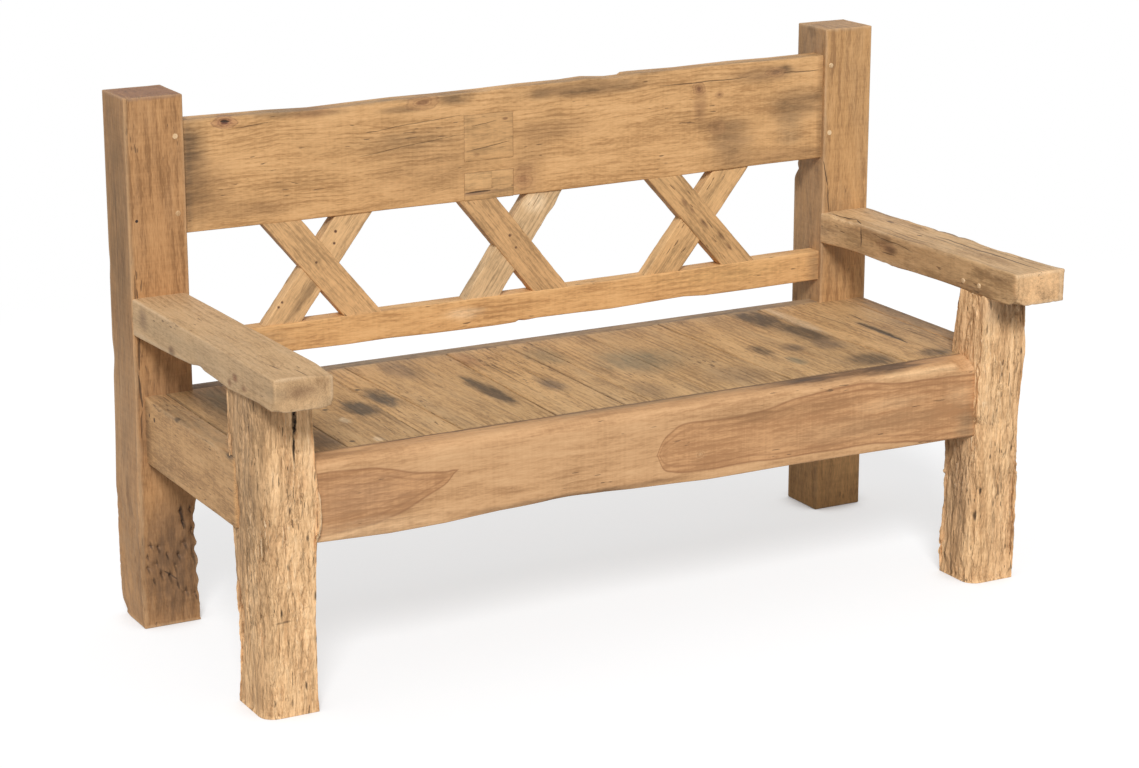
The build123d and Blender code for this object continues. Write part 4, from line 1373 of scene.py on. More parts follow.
@dataclass
class Armrests:
    """The two thick arms."""

    back: float = 242
    front: float = -345
    joint: float = 4
    left_outer: Profile = ((-345, -750), (242, -762))
    left_inner: Profile = ((-345, -650), (242, -664))
    left_under: Profile = ((-345, 541.5), (-275, 543.5), (-164, 538), (-121, 541), (-54, 544), (-16, 542), (60, 538),
                           (242, 532.5))
    left_top: Profile = ((-345, 597), (242, 597))
    right_outer: Profile = ((-345, 764.5), (-285, 760), (-180, 751.5), (-115, 752.5), (-56, 757.5), (18, 753.5),
                            (60, 747), (242, 740))
    right_inner: Profile = ((-345, 658), (-170, 654.5), (142, 646.5), (242, 635.5))
    right_under: Profile = ((-345, 540), (-200, 540), (-60, 540.2), (40, 539), (180, 542), (242, 541))
    right_top: Profile = ((-345, 598.4), (0, 598), (242, 600))

    def build(self) -> None:
        """Builds and dresses both arms."""
        self.left()
        self.right()

    def shape(self, name: str, side: Side, left: Profile, right: Profile, under: Profile, top: Profile) -> Blank:
        """Builds an arm from its outlines.

        Args:
            name: the piece's name.
            side: which end of the settle it is at.
            left: its left side in plan.
            right: its right side in plan.
            under: its underside.
            top: its upper side.

        Returns:
            The blank.
        """
        base = 700 * side.value
        blank = Blank(name, (base - 50, self.front, 545), (base + 50, self.back + self.joint, 597), Y)
        blank.outline(Y, (X, LOW, left), (X, HIGH, right), (Z, LOW, under), (Z, HIGH, top), tail=self.joint)
        blank.refine(7)
        blank.round_edges(3.2)
        return blank

    def left(self) -> None:
        """Builds the left arm."""
        blank = self.shape("left_arm", Side.LEFT, self.left_outer, self.left_inner, self.left_under, self.left_top)
        blank.dent(SMOOTH, (-750, -345, 543, 4, 5, 4, 17), (-650, -345, 543, -2, 4, 2, 20),
                   (-752, -345, 597, 1, 3, -1, 14), (-650, -345, 597, 0, 1, -5, 70), (-756, -40, 545, 2, 0, 2.5, 30))
        blank.wear(0.45, 12)
        rust = (0.27, 0.13, 0.065)
        blank.finish(WoodFinish(
            ((0.68, 0.455, 0.25), (0.60, 0.39, 0.205), (0.42, 0.26, 0.13)), 2.9, ring=12, waver=18, weather=0.15,
            contrast=0.55, weather_colour=(0.42, 0.33, 0.23), edge=((-760, -345, 540), (-652, 246, 597)),
            edge_colour=(0.74, 0.54, 0.34),
            knots=(Knot((-753, -193, 563), (30, 13, 8), 3, (0.25, 0.10, 0.05), 0.9),
                   Knot((-752, -227, 555), (30, 9, 6), 3, (0.25, 0.11, 0.06), 0.8),
                   Knot((-754, -171, 551), (30, 8, 6), 3, (0.25, 0.12, 0.06), 0.8),
                   Knot((-715, -278, 597), (8, 12, 14), 8, strength=0.5)),
            cracks=cracks(Z, (-722, -250, 597, -716, -296, 597, 1.8, 0.6),
                          (-697, -300, 597, -690, -340, 597, 1.6, 0.7)),
            stains=spots((-753, -193, 564, 14, 10, 6, (0.26, 0.11, 0.055), 0.62, 0.6, 0.8),
                         (-752, -228, 555, 14, 9, 5, rust, 0.5, 0.6, 0.8),
                         (-753, -171, 551, 14, 7, 6, rust, 0.5, 0.6, 0.8),
                         (-759, 195, 572, 14, 16, 18, (0.26, 0.15, 0.085), 0.55, 0.8, 1),
                         (-757, 60, 566, 14, 150, 16, (0.44, 0.30, 0.165), 0.4, 0.9),
                         (-757, 70, 545, 16, 14, 8, (0.20, 0.11, 0.06), 0.6, 0.55, 1),
                         (-712, -345, 556, 50, 10, 20, (0.56, 0.35, 0.18), 0.4, 0.9),
                         (-712, -345, 578, 40, 14, 18, (0.46, 0.28, 0.14), 0.5, 0.9),
                         (-672, -345, 586, 14, 10, 9, (0.36, 0.21, 0.10), 0.5, 0.8),
                         (-706, -345, 572, 26, 14, 9, (0.24, 0.135, 0.068), 0.5, 0.9, 0.9),
                         (-745, -330, 572, 16, 22, 10, (0.40, 0.27, 0.15), 0.5, 0.9))),
            "left_armrest")

    def right(self) -> None:
        """Builds the right arm, with a chip out of its inner edge."""
        blank = self.shape("right_arm", Side.RIGHT, self.right_inner, self.right_outer, self.right_under,
                           self.right_top)
        blank.dent(SHARP, (643, 205, 599, 3, 0, -7, 20), (645, 180, 599, 3, 0, -9, 22), (647, 155, 599, 3, 0, -6, 18))
        blank.dent(SMOOTH, (658, -345, 541, 6, 7, 7, 24))
        blank.dent(SHARP, (755, -40, 597, -1, 0, -1.5, 24), (752, 20, 597, -1, 0, -1.5, 20),
                   (652, 195, 541, 0, 0, 3.5, 16), (655, 42, 541, 0, 0, 3.5, 16))
        blank.wear(0.6, 15)
        blank.roughen("", Relief(Weave.RIDGES, 15, (1, 9, 1), 2.2, 3))
        blank.finish(WoodFinish(
            ((0.68, 0.45, 0.24), (0.60, 0.385, 0.195), (0.40, 0.24, 0.115)), 8.4, ring=11, waver=16, weather=0.2,
            weather_colour=(0.43, 0.33, 0.22), pits=0.07, edge=((648, -345, 541), (756, 246, 597)),
            edge_colour=(0.78, 0.58, 0.37),
            stains=spots((652, -40, 568, 16, 300, 34, (0.44, 0.275, 0.135), 0.42, 0.9),
                         (650, 42, 574, 16, 26, 14, (0.34, 0.19, 0.095), 0.5, 0.55, 1.2),
                         (651, 30, 568, 16, 18, 7, (0.13, 0.07, 0.04), 0.5, 0.55, 1.2),
                         (650, 150, 566, 16, 50, 16, (0.40, 0.26, 0.13), 0.4, 0.8),
                         (654, -130, 560, 16, 60, 22, (0.46, 0.29, 0.145), 0.4, 0.8),
                         (656, -200, 546, 16, 60, 7, (0.22, 0.12, 0.06), 0.5, 0.8),
                         (713, -345, 568, 70, 8, 50, (0.76, 0.455, 0.225), 0.55, 0.8),
                         (750, 20, 597, 5, 90, 6, (0.15, 0.09, 0.055), 0.6, 0.55, 1.2),
                         (738, 190, 599, 6, 50, 6, (0.16, 0.10, 0.06), 0.5, 0.55, 1.2)),
            cracks=(
                *cracks(Z, (716, -20, 598, 722, -335, 596, 3.2, 0.8), (700, 60, 598, 704, -200, 596, 1.6, 0.6),
                        (734, -90, 598, 742, -330, 596, 1.4, 0.6), (668, 150, 599, 672, -190, 596, 1.2, 0.5),
                        (706, 127, 599, 709, 106, 599, 4.2), (690, 2, 598, 692, -12, 598, 3.6),
                        (646, 236, 599, 655, 205, 599, 2.4), (655, 205, 599, 662, 160, 599, 2.8),
                        (662, 160, 599, 650, 128, 599, 2), (652, 60, 599, 655, -60, 599, 1.6, 0.6)),
                *cracks(X, (649, 124, 594, 649, 123, 556, 2.6), (650, 92, 588, 652, -40, 580, 1.4, 0.5),
                        (652, 60, 560, 652, 10, 560, 1.6, 0.7)))),
            "right_armrest")


@dataclass
class FrontLegs:
    """The two hewn front legs. Their profiles are the low X, high X, low Y and high Y sides against the height."""

    left_sides: Sequence[Profile] = (
        ((0, -744), (100, -743), (240, -743.5), (345, -745), (440, -746), (548, -748)),
        ((0, -648), (25, -650), (100, -649.5), (160, -650), (200, -648.5), (290, -646.5), (320, -639), (345, -638),
         (380, -642), (420, -645), (480, -648), (548, -648)),
        ((0, -252), (160, -251), (345, -254), (440, -253), (548, -252)),
        ((0, -144), (40, -151), (100, -155), (160, -153), (250, -146), (300, -140), (440, -139), (548, -139)))
    right_sides: Sequence[Profile] = (
        ((0, 642.5), (40, 641), (90, 643), (130, 645.3), (160, 644), (240, 646.5), (300, 647.5), (400, 649),
         (440, 650), (500, 653), (545, 656)),
        ((0, 737.5), (60, 738.5), (160, 739), (240, 738.5), (300, 737.5), (380, 742), (425, 747.5), (470, 745),
         (545, 740)),
        ((0, -264), (160, -262), (345, -262), (440, -263), (545, -261)),
        ((0, -169), (160, -172), (345, -170), (440, -175), (545, -184)))
    pitch: float = 2.7
    corner: float = 26
    upper_corner: float = 6
    left_pits: Sequence[Point] = (
        (-695, 255, 5), (-709, 179, 6), (-650, 200, 8), (-669, 48, 7), (-695, 23, 6), (-649, 126, 6), (-713, 534, 7),
        (-724, 26, 6), (-690, 350, 5), (-662, 300, 5))
    right_pits: Sequence[Point] = (
        (668, 524, 7), (738, 432, 6), (700, 392, 4), (664, 176, 6), (656, 130, 9), (690, 150, 6), (724, 60, 5),
        (680, 240, 5), (728, 250, 6), (664, 480, 8))

    def build(self) -> None:
        """Builds and dresses both legs."""
        self.left()
        self.right()

    def shape(self, name: str, profiles: Sequence[Profile]) -> Blank:
        """Returns a leg's blank, built up from its four profiles."""
        west, east, south, north = (sum(value for _, value in profile) / len(profile) for profile in profiles)
        blank = Blank(name, (west, south, 0), (east, north, profiles[0][-1][0]), Z)
        sides = ((X, LOW), (X, HIGH), (Y, LOW), (Y, HIGH))
        blank.outline(Z, *((*side, profile) for side, profile in zip(sides, profiles)))
        return blank

    def hew(self, blank: Blank, seed: float, *dents: Sequence[float]) -> None:
        """Splits and chips the surface along the grain.

        Args:
            blank: the leg.
            seed: moves the pattern.
            dents: pulls that are made before the roughening.
        """
        blank.refine(self.pitch, Z, X, Y)
        blank.refine_bevels(self.pitch)
        blank.round_edges(3)
        blank.dent(SHARP, *dents)
        ends = blank.weigh("hewn", lambda co: min(max(co.z / CLEAR, 0.0), 1.0))
        blank.roughen(ends, Relief(Weave.CLOUDS, 52, (1, 1, 1.8), 5, seed))

        def torn(co: Vector) -> float:
            """Returns how torn a place is: smooth plates lie between ragged strips and along the corners."""
            level = noise.noise(Vector((co.x * 34, co.y * 34, co.z * 9 + seed)))
            return min(max(0.62 + 1.7 * level, 0.16), 1.0) * min(max(co.z / CLEAR, 0.0), 1.0)

        blank.roughen(blank.weigh("torn", torn), Relief(Weave.PLATES, 22, (1, 1, 3.2), 5, seed + 3, 0.45),
                      Relief(Weave.PLATES, 11, (1, 1, 3), 4.2, seed + 4, 0.45),
                      Relief(Weave.RIDGES, 12, (1, 1, 4), 3.4, seed + 6),
                      Relief(Weave.CLOUDS, 6, (1, 1, 2.2), 2.4, seed + 9, hard=True))
        blank.keep_relief(4, 2)

    @staticmethod
    def wood(seed: float, stains: Sequence[StainAndPaintedLight]) -> WoodFinish:
        """Returns the finish of a leg from the seed of its figure and its stains."""
        return WoodFinish(
            ((0.97, 0.655, 0.37), (0.88, 0.56, 0.29), (0.63, 0.37, 0.178)), seed, cloud=30, ring=13, waver=30,
            pits=0.075, contrast=0.95, relief=3, torn=1.2, weather=0.6, weather_colour=(0.64, 0.37, 0.18),
            # Painted shade in the hewn hollows and painted highlights on the ridges.
            roughness=0.74, hollow_shade=(0.26, 0.135, 0.064), ridge=(0.92, 0.70, 0.46), stains=stains)

    @staticmethod
    def pores(face: float, rows: Sequence[Point]) -> list[StainAndPaintedLight]:
        """Returns the long pores of a leg's front, from the x, the z and the length of each."""
        return marks(Y, face, 40, *((x, z, 1.9, reach, (0.05, 0.028, 0.016), 0.6, 0.55, 0.9) for x, z, reach in rows))

    def left(self) -> None:
        """Builds the left leg, with a slot under the arm."""
        blank = self.shape("left_leg", self.left_sides)
        blank.round_edges(self.corner, 5, lambda co: co.y < -0.22 and co.x < -0.70)
        self.hew(blank, 1, *((-677.5, -252, 541 - 7 * turn, 0, 9 - 0.4 * turn, 0, 8) for turn in range(11)))
        blank.finish(self.wood(4.4, (
            *spots((-744, -200, 400, 14, 60, 220, (0.44, 0.27, 0.14), 0.5, 0.8),
                   # Painted shade on the leg's front just under the arm.
                   (-720, -252, 520, 22, 26, 28, (0.34, 0.20, 0.10), 0.5, 0.8),
                   (-734, -244, 300, 12, 14, 290, (0.46, 0.28, 0.14), 0.42, 0.8, 2.6),
                   # Painted shadow inside the slot under the arm, near black, which makes the slot read wider and
                   # darker.
                   (-677.5, -253, 502, 3.9, 40, 30, (0.02, 0.012, 0.008), 0.75, 0.25, 0.35),
                   (-680, -253, 452, 2, 40, 24, (0.03, 0.018, 0.01), 0.7, 0.5, 0.6),
                   (-706, -253, 163, 12, 40, 1.8, (0.12, 0.065, 0.035), 0.5, 0.55, 1.2)),
            *self.pores(-253, self.left_pits))), "left_front_leg")

    def right(self) -> None:
        """Builds the right leg, whose inner corner is rounder below the seat than above it."""
        blank = self.shape("right_leg", self.right_sides)
        blank.round_edges(self.corner, 5, lambda co: 0.01 < co.z < 0.29 and co.y < -0.22 and co.x < 0.70)
        blank.round_edges(self.upper_corner, 3, lambda co: co.z > 0.29 and co.y < -0.22 and co.x < 0.70)
        self.hew(blank, 2.6)
        blank.finish(self.wood(9.1, (
            *spots((645, -200, 200, 12, 44, 100, (0.36, 0.215, 0.115), 0.5, 0.9),
                   (648, -215, 470, 14, 40, 46, (0.60, 0.37, 0.19), 0.4, 0.8),
                   # Painted shade on the leg's front just under the arm.
                   (728, -262, 525, 18, 20, 22, (0.30, 0.17, 0.085), 0.45, 0.8)),
            *self.pores(-262, self.right_pits),
            # Painted shade along the leg's front just under the arm.
            *spots((700, -262, 515, 50, 16, 24, (0.40, 0.26, 0.15), 0.45, 0.8)))), "right_front_leg")


@dataclass(frozen=True)
class SlabFinish(WoodFinish):
    """The front rail's finish, with two tongues of dark heartwood in pale sapwood."""

    heart_light: Colour = (0.61, 0.33, 0.152)
    heart_dark: Colour = (0.41, 0.205, 0.09)
    rim_colour: Colour = (0.27, 0.125, 0.055)
    span: tuple[float, float] = (-660, 660)
    heights: tuple[float, float] = (250, 450)
    reaches: tuple[float, float] = (-60, 70)
    left_middle: Profile = ((-660, 349), (-562, 349), (-512, 351), (-462, 353), (-412, 360), (-392, 370), (-380, 372))
    left_half: Profile = ((-660, 56), (-562, 49), (-512, 39), (-462, 25), (-412, 12), (-392, 2), (-370, -8),
                          (-300, -30))
    right_middle: Profile = ((-60, 340), (-12, 340), (48, 345), (188, 345), (288, 351), (388, 353), (488, 346),
                             (588, 341), (660, 337))
    right_half: Profile = ((-80, -40), (-12, 0), (0, 24), (18, 36), (48, 43), (188, 46), (288, 55), (388, 56),
                           (488, 55), (588, 59), (660, 60))

    def curve(self, sketch: Sketch, share: Value, profile: Profile, low: float, high: float) -> Value:
        """Reads a drawn line as a curve.

        Args:
            sketch: the material's sketch.
            share: the place along the rail, from 0 to 1.
            profile: pairs of a place along X and a height.
            low: the height that reads as 0.
            high: the height that reads as 1.

        Returns:
            The height, in metres.
        """
        node = sketch.add("FloatCurve", {"Value": share})
        curve = node.mapping.curves[0]
        points = [((x - self.span[0]) / (self.span[1] - self.span[0]), (z - low) / (high - low)) for x, z in profile]
        if points[-1][0] < 0.999:
            points.append((1, points[-1][1]))
        if points[0][0] > 0.001:
            points.insert(0, (0, points[0][1]))
        curve.points[0].location = points[0]
        curve.points[1].location = points[-1]
        for point in points[1:-1]:
            curve.points.new(*point)
        for point in curve.points:
            point.handle_type = "AUTO_CLAMPED"
        node.mapping.update()
        return Value(sketch, node.outputs[0]).mad((high - low) * MM, low * MM)

    def heart(self, sketch: Sketch, place: Value) -> Value:
        """Returns how deep in the heartwood a place is, in metres from the tongues' rim."""
        x, _, z = sketch.split(place)
        share = (x - self.span[0] * MM) / ((self.span[1] - self.span[0]) * MM)
        waver = (sketch.noise(place, (6, 6, 14)) - 0.5) * 0.016
        tongues = []
        for middle, half in ((self.left_middle, self.left_half), (self.right_middle, self.right_half)):
            centre = self.curve(sketch, share, middle, *self.heights)
            reach = self.curve(sketch, share, half, *self.reaches)
            tongues.append(reach - sketch.math("ABSOLUTE", z + waver - centre))
        return sketch.math("MAXIMUM", *tongues)

    def extra_lift(self, sketch: Sketch, place: Value) -> object:
        """Returns how far the figure is bent so that it follows the tongues, in metres."""
        return sketch.math("MAXIMUM", self.heart(sketch, place), -0.03) * 0.9

    def figure(self, sketch: Sketch, place: Value, tone: Value) -> Value:
        """The plain colour: sapwood, with heartwood inside the tongues.

        Args:
            sketch: the material's sketch.
            place: the Object coordinates.
            tone: how light the wood is, from 0 to 1.

        Returns:
            The colour.
        """
        sap = super().figure(sketch, place, tone)
        deep = self.heart(sketch, place)
        heart = sketch.mix(sketch.smooth(tone, 0.30, 0.75), self.heart_dark, self.heart_light)
        colour = sketch.mix(sketch.smooth(deep, -0.002, 0.003) * 0.88, sap, heart)
        for low, high, amount in ((-0.002, 0.004, 0.7), (0.008, 0.015, 0.45), (0.021, 0.026, 0.25)):
            middle = (low + high) / 2
            band = sketch.smooth(deep, low, middle) * (1 - sketch.smooth(deep, middle, high))
            colour = sketch.mix(band * amount, colour, self.rim_colour)
        return colour


@dataclass
class SeatRails:
    """The rails round the seat: the slab at the front, the two sides and the back."""

    top: float = 422
    low: float = 302
    underside: Profile = (
        (-656, 286.5), (-512, 281.5), (-412, 283), (-362, 286), (-312, 288.5), (-262, 289.5), (-212, 291.5),
        (-112, 290.5), (-62, 287.5), (-12, 285.5), (88, 281.5), (238, 282), (388, 281), (488, 279.5), (588, 279),
        (662, 278.5))

    def build(self) -> None:
        """Builds and dresses the rails."""
        self.front()
        self.side("left_side", (-747, -160, self.low), (-708, 246, self.top), 3.3)
        self.side("right_side", (696, -185, self.low), (735, 246, self.top), 6.6)
        self.rear()

    def front(self) -> None:
        """Builds the slab at the front."""
        blank = Blank("front_rail", (-656, -245, 282), (662, -195, self.top))
        blank.outline(X, (Z, LOW, self.underside))
        blank.round_edges(17, 5, lambda co: co.y < -0.24 and co.z > 0.42)
        blank.round_edges(3, 3, lambda co: co.y < -0.24 and co.z < 0.30)
        blank.refine(9, X, Z, Y)
        blank.dent(SMOOTH, (636, -240, 418, 0, 4, -12, 34), (-180, -245, 290, 0, 3, 0.5, 60),
                   (400, -240, 420, 0, 2, -3, 60), (-420, -240, 420, 0, -1, 1.5, 70))
        blank.wear(0.5, 20)
        blank.finish(SlabFinish(
            ((0.67, 0.405, 0.205), (0.59, 0.34, 0.165), (0.44, 0.24, 0.11)), 2.2, ring=12, rings=0.2, waver=16,
            contrast=0.82, fibre=0.42, saw=0.13, pits=0.03,
            knots=(Knot((75, -245, 330), (9, 20, 6), 6, (0.66, 0.42, 0.22), 0.6),),
            stains=(
                *marks(Z, self.top, 10, (390, -205, 150, 26, (0.20, 0.11, 0.055), 0.75, 0.7),
                       (480, -205, 50, 30, (0.12, 0.07, 0.04), 0.75, 0.7),
                       (310, -203, 40, 22, (0.10, 0.065, 0.045), 0.75, 0.7)),
                *marks(Z, self.top, 8, (0, -196.5, 700, 4.5, (0.15, 0.085, 0.045), 0.7, 0.5, 0.8),
                       (-20, -205, 260, 9, (0.30, 0.20, 0.11), 0.45, 0.8)),
                *marks(Y, -242, 16, (-170, 293, 150, 5, (0.26, 0.145, 0.07), 0.7, 0.7),
                       (-560, 293, 120, 16, (0.76, 0.50, 0.28), 0.35, 0.9)),
                *marks(Y, -245, 16, (560, 414, 110, 6, (0.76, 0.49, 0.26), 0.5, 0.7),
                       (635, 306, 18, 30, (0.34, 0.20, 0.10), 0.6, 0.8),
                       (-560, 350, 90, 36, (0.45, 0.25, 0.13), 0.35, 0.8),
                       (400, 330, 160, 20, (0.44, 0.255, 0.125), 0.35, 0.8),
                       (240, 382, 130, 11, (0.36, 0.19, 0.085), 0.42, 0.8),
                       (470, 366, 60, 10, (0.66, 0.40, 0.205), 0.4, 0.9),
                       (625, 362, 30, 16, (0.68, 0.41, 0.21), 0.4, 0.9)))), "front_seat_rail")

    def side(self, name: str, low: Point, high: Point, seed: float) -> None:
        """Builds a side rail.

        Args:
            name: the piece's name.
            low: its lowest corner.
            high: its highest corner.
            seed: moves its figure.
        """
        blank = Blank(name, low, high, Y)
        blank.refine(9)
        blank.round_edges(3)
        blank.wear(0.7, seed)
        x, strength = (low[0], 0.5) if low[0] < 0 else (high[0], 0.3)
        hole, damp = (0.08, 0.045, 0.03), (0.10, 0.07, 0.045)
        blank.finish(WoodFinish(
            ((0.68, 0.41, 0.195), (0.58, 0.335, 0.15), (0.38, 0.21, 0.092)), seed, ring=15, waver=24, weather=0.12,
            contrast=0.8, pits=0.07, weather_colour=(0.34, 0.235, 0.14),
            stains=spots((x, 236, 360, 20, 14, 60, (0.22, 0.13, 0.07), strength, 0.8),
                         (x, 198, 392, 9, 4, 4, hole, 0.8, 0.4, 0.5), (x, 222, 394, 9, 3, 3.5, hole, 0.7, 0.4, 0.5),
                         ((low[0] + high[0]) / 2, 40, 424, 30, 210, 9, (0.33, 0.225, 0.125), 0.55, 0.7),
                         (x, -143, 425, 8, 14, 8, damp, 0.7), (x, 92, 425, 8, 10, 8, damp, 0.7))), f"{name}_rail")

    def rear(self) -> None:
        """Builds the rail behind the planks."""
        blank = Blank("rear_rail", (-664, 251.5, self.low), (644, 282, 421.5))
        blank.refine(10)
        blank.round_edges(2.2)
        blank.wear(0.5, 33)
        blank.finish(WoodFinish(((0.46, 0.31, 0.17), (0.36, 0.235, 0.13), (0.20, 0.13, 0.075)), 12.2,
                                weather=0.5, weather_colour=(0.20, 0.165, 0.12), pits=0.07), "rear_seat_rail")


@dataclass
class SeatPlanks:
    """The boards of the seat, laid from front to back."""

    front: float = -194
    rear: float = 251
    low: float = 398
    high: float = 422
    joints: Profile = (
        (-707, -707), (-561, -563), (-424, -413), (-352, -368), (-237, -245), (-178, -166), (-101, -84), (-46, -44),
        (6, -2), (129, 116), (292, 277), (444, 425), (538, 500), (626, 600), (695, 695))
    gap: float = 1.2
    shades: Sequence[float] = (0.94, 0.90, 1.02, 0.96, 0.92, 1.06, 0.98, 1.04, 1, 0.96, 1.02, 0.90, 1.08, 1)

    def build(self) -> None:
        """Builds and dresses every plank."""
        for number in range(len(self.shades)):
            self.plank(number)

    def stains(self) -> list[StainAndPaintedLight]:
        """Returns the stains of the seat, each of which shows on the planks that it reaches."""
        blue, black, rust = (0.13, 0.095, 0.062), (0.11, 0.075, 0.045), (0.36, 0.19, 0.09)
        olive, brown, pale = (0.21, 0.18, 0.115), (0.22, 0.145, 0.085), (0.58, 0.42, 0.26)
        bare, soft = (0.66, 0.50, 0.32), 0.55
        return marks(
            Z, self.high, 9, (-450, 0, 26, 44, blue, 0.8), (-390, 42, 22, 52, blue, 0.75),
            (-582, -138, 26, 46, brown, 0.6), (-290, 187, 24, 56, brown, 0.6), (-208, -5, 17, 88, black, 0.85),
            (-155, 192, 18, 50, rust, 0.5), (-95, -23, 18, 46, brown, 0.7), (120, 42, 70, 62, olive, 0.5, 0.8),
            (343, -8, 16, 32, black, 0.6), (408, -18, 20, 24, brown, 0.6), (365, -98, 14, 24, olive, 0.6),
            (464, 190, 34, 60, black, 0.8), (488, 70, 30, 74, black, 0.75), (480, -28, 26, 34, brown, 0.7),
            (518, 150, 12, 100, pale, 0.6), (488, -150, 42, 38, black, 0.6), (618, -168, 30, 26, black, 0.6),
            (615, 6, 9, 66, black, 0.9, soft, 2.4), (-507, 20, 4.5, 4.5, black, 0.9, soft, 0.4),
            (-542, -168, 4.5, 4.5, black, 0.9, soft, 0.4), (-406, 110, 4.5, 4.5, black, 0.9, soft, 0.4),
            (-504, -50, 9, 14, bare, 0.5, soft, 4.5), (-500, -178, 9, 12, bare, 0.5, soft, 4.5),
            (-640, 150, 30, 70, olive, 0.5), (-20, 150, 30, 60, olive, 0.35), (220, -120, 60, 50, brown, 0.3),
            (40, -140, 30, 46, brown, 0.3))

    def splits(self, number: int) -> list[Crack]:
        """Returns the cracks of the plank that has a number."""
        flat = self.high
        rows = {
            1: ((-470, 230, -474, 60, 1.8, 0.7),), 5: ((-132, 230, -140, -60, 1.6, 0.6),),
            9: ((200, 200, 204, 10, 1.4, 0.6),), 10: ((470, 120, 500, 0, 2, 0.7),),
            11: ((503, 252, 533, 47, 3.4), (520, 150, 545, 40, 2.2, 0.6, (0.70, 0.52, 0.32))),
            12: ((620, 20, 610, -90, 5), (638, 92, 640, 142, 2.6), (575, 200, 590, 20, 1.6, 0.6)),
            13: ((634, 92, 638, 142, 2.4), (660, 120, 668, -100, 1.6, 0.6))}.get(number, ())
        return cracks(Z, *((x, y, flat, end_x, end_y, flat, *rest) for x, y, end_x, end_y, *rest in rows))

    def plank(self, number: int) -> None:
        """Builds one plank.

        Args:
            number: its place from the left, from 0.
        """
        (f0, r0), (f1, r1) = self.joints[number:number + 2]
        half = self.gap / 2
        left, right = min(f0, r0), max(f1, r1)
        lift = math.sin(number * 2.7) * 0.6
        blank = Blank(f"plank_{number + 1:02d}", (left, self.front, self.low), (right, self.rear, self.high + lift), Y)
        for edge, place, y in ((left, f0 + half, self.front), (left, r0 + half, self.rear),
                               (right, f1 - half, self.front), (right, r1 - half, self.rear)):
            blank.pick(lambda co: abs(co.x - edge * MM) < 1e-4 and abs(co.y - y * MM) < 1e-4)
            bpy.ops.transform.translate(value=step(X, (place - edge) * MM))
        blank.refine(11, Y)
        blank.refine(9, X)
        blank.round_edges(1.8, 2)
        blank.wear(0.5, 40 + number * 3.1)
        shades = tuple(tuple(self.shades[number] * part for part in colour)
                       for colour in ((0.65, 0.42, 0.208), (0.56, 0.348, 0.163), (0.34, 0.20, 0.09)))
        stains = [stain for stain in self.stains()
                  if left - stain.reach[0] * 1.4 < stain.place[0] < right + stain.reach[0] * 1.4]
        blank.finish(WoodFinish(
            shades, 20 + number * 1.37, cloud=48, ring=12, waver=20, weather=0.30, contrast=0.8,
            weather_colour=(0.30, 0.21, 0.12), pits=0.09, relief=0.9, stains=stains, cracks=self.splits(number),
            edge=((left + 1, self.front, self.low), (right - 1, self.rear, self.high)), edge_width=4,
            edge_colour=(0.16, 0.105, 0.065), edge_strength=0.55), f"seat_plank_{number + 1:02d}")


@dataclass
class Pegs:
    """The pale pegs that lock the crest board and the arms, given by the middles of their faces."""

    radius: float = 4.9
    depth: float = 12
    crest: Sequence[Point] = ((-673.5, 241.2, 870), (-673.5, 241.2, 737), (649, 241.2, 884), (649, 241.2, 755))
    arms: Sequence[Point] = ((-653, -222, 557), (-654, -176, 557), (654.6, -239, 557), (653.9, -193, 557))

    def build(self) -> None:
        """Builds and dresses the pegs."""
        self.cluster("crest_peg_ends", self.crest, Y, "crest_pegs")
        self.cluster("arm_peg_ends", self.arms, X, "armrest_pegs")

    def cluster(self, name: str, places: Sequence[Point], axis: Axis, node: str) -> None:
        """Builds the pegs of one node as one piece.

        Args:
            name: the piece's name.
            places: the middles of the pegs' faces.
            axis: the axis that the pegs run along.
            node: the node that they stand for.
        """
        bpy.ops.object.select_all(action="DESELECT")
        pegs = []
        for place in places:
            inward = -1 if axis is X and place[0] < 0 else 1
            centre = Vector(place) + Vector(step(axis, inward * self.depth / 2))
            turn = (math.pi / 2, 0, 0) if axis is Y else (0, math.pi / 2, 0)
            bpy.ops.mesh.primitive_cylinder_add(
                vertices=18, radius=self.radius * MM, depth=self.depth * MM, location=metres(centre), rotation=turn)
            peg = bpy.context.object
            bpy.ops.object.transform_apply(location=True, rotation=True, scale=True)
            bevel = peg.modifiers.new("worn", "BEVEL")
            bevel.width, bevel.segments = 0.8 * MM, 2
            bpy.ops.object.modifier_apply(modifier="worn")
            pegs.append(peg)
        for peg in pegs:
            peg.select_set(True)
        bpy.context.view_layer.objects.active = pegs[0]
        bpy.ops.object.join()
        piece = bpy.context.object
        piece.name = piece.data.name = name
        stains = spots((-673.5, 241.2, 737, 9, 9, 9, (0.50, 0.29, 0.135), 0.5, 0.55, 0.4),
                       (-673.5, 241.2, 870, 9, 9, 9, (0.66, 0.44, 0.24), 0.4, 0.55, 0.4))
        hang(piece, WoodFinish(((0.80, 0.60, 0.38), (0.70, 0.49, 0.28), (0.48, 0.30, 0.15)), 1.9, ring=3, waver=3,
                               pits=0.04, stains=stains), axis, node)


@dataclass
class Bearers:
    """The two hidden strips that carry the planks, shown as the frame has them."""

    nodes: Sequence[str] = ("front_seat_bearer", "rear_seat_bearer")

    def build(self) -> None:
        """Dresses the two bearers."""
        wood = WoodFinish(((0.58, 0.40, 0.22), (0.48, 0.31, 0.16), (0.32, 0.19, 0.09)), 30, weather=0.2,
                          pits=0.05).build("bearer_wood", X)
        for name in self.nodes:
            node = frame["nodes"][name]
            node.data.materials.clear()
            node.data.materials.append(wood)
            LOG.info("%s: dressed", name)


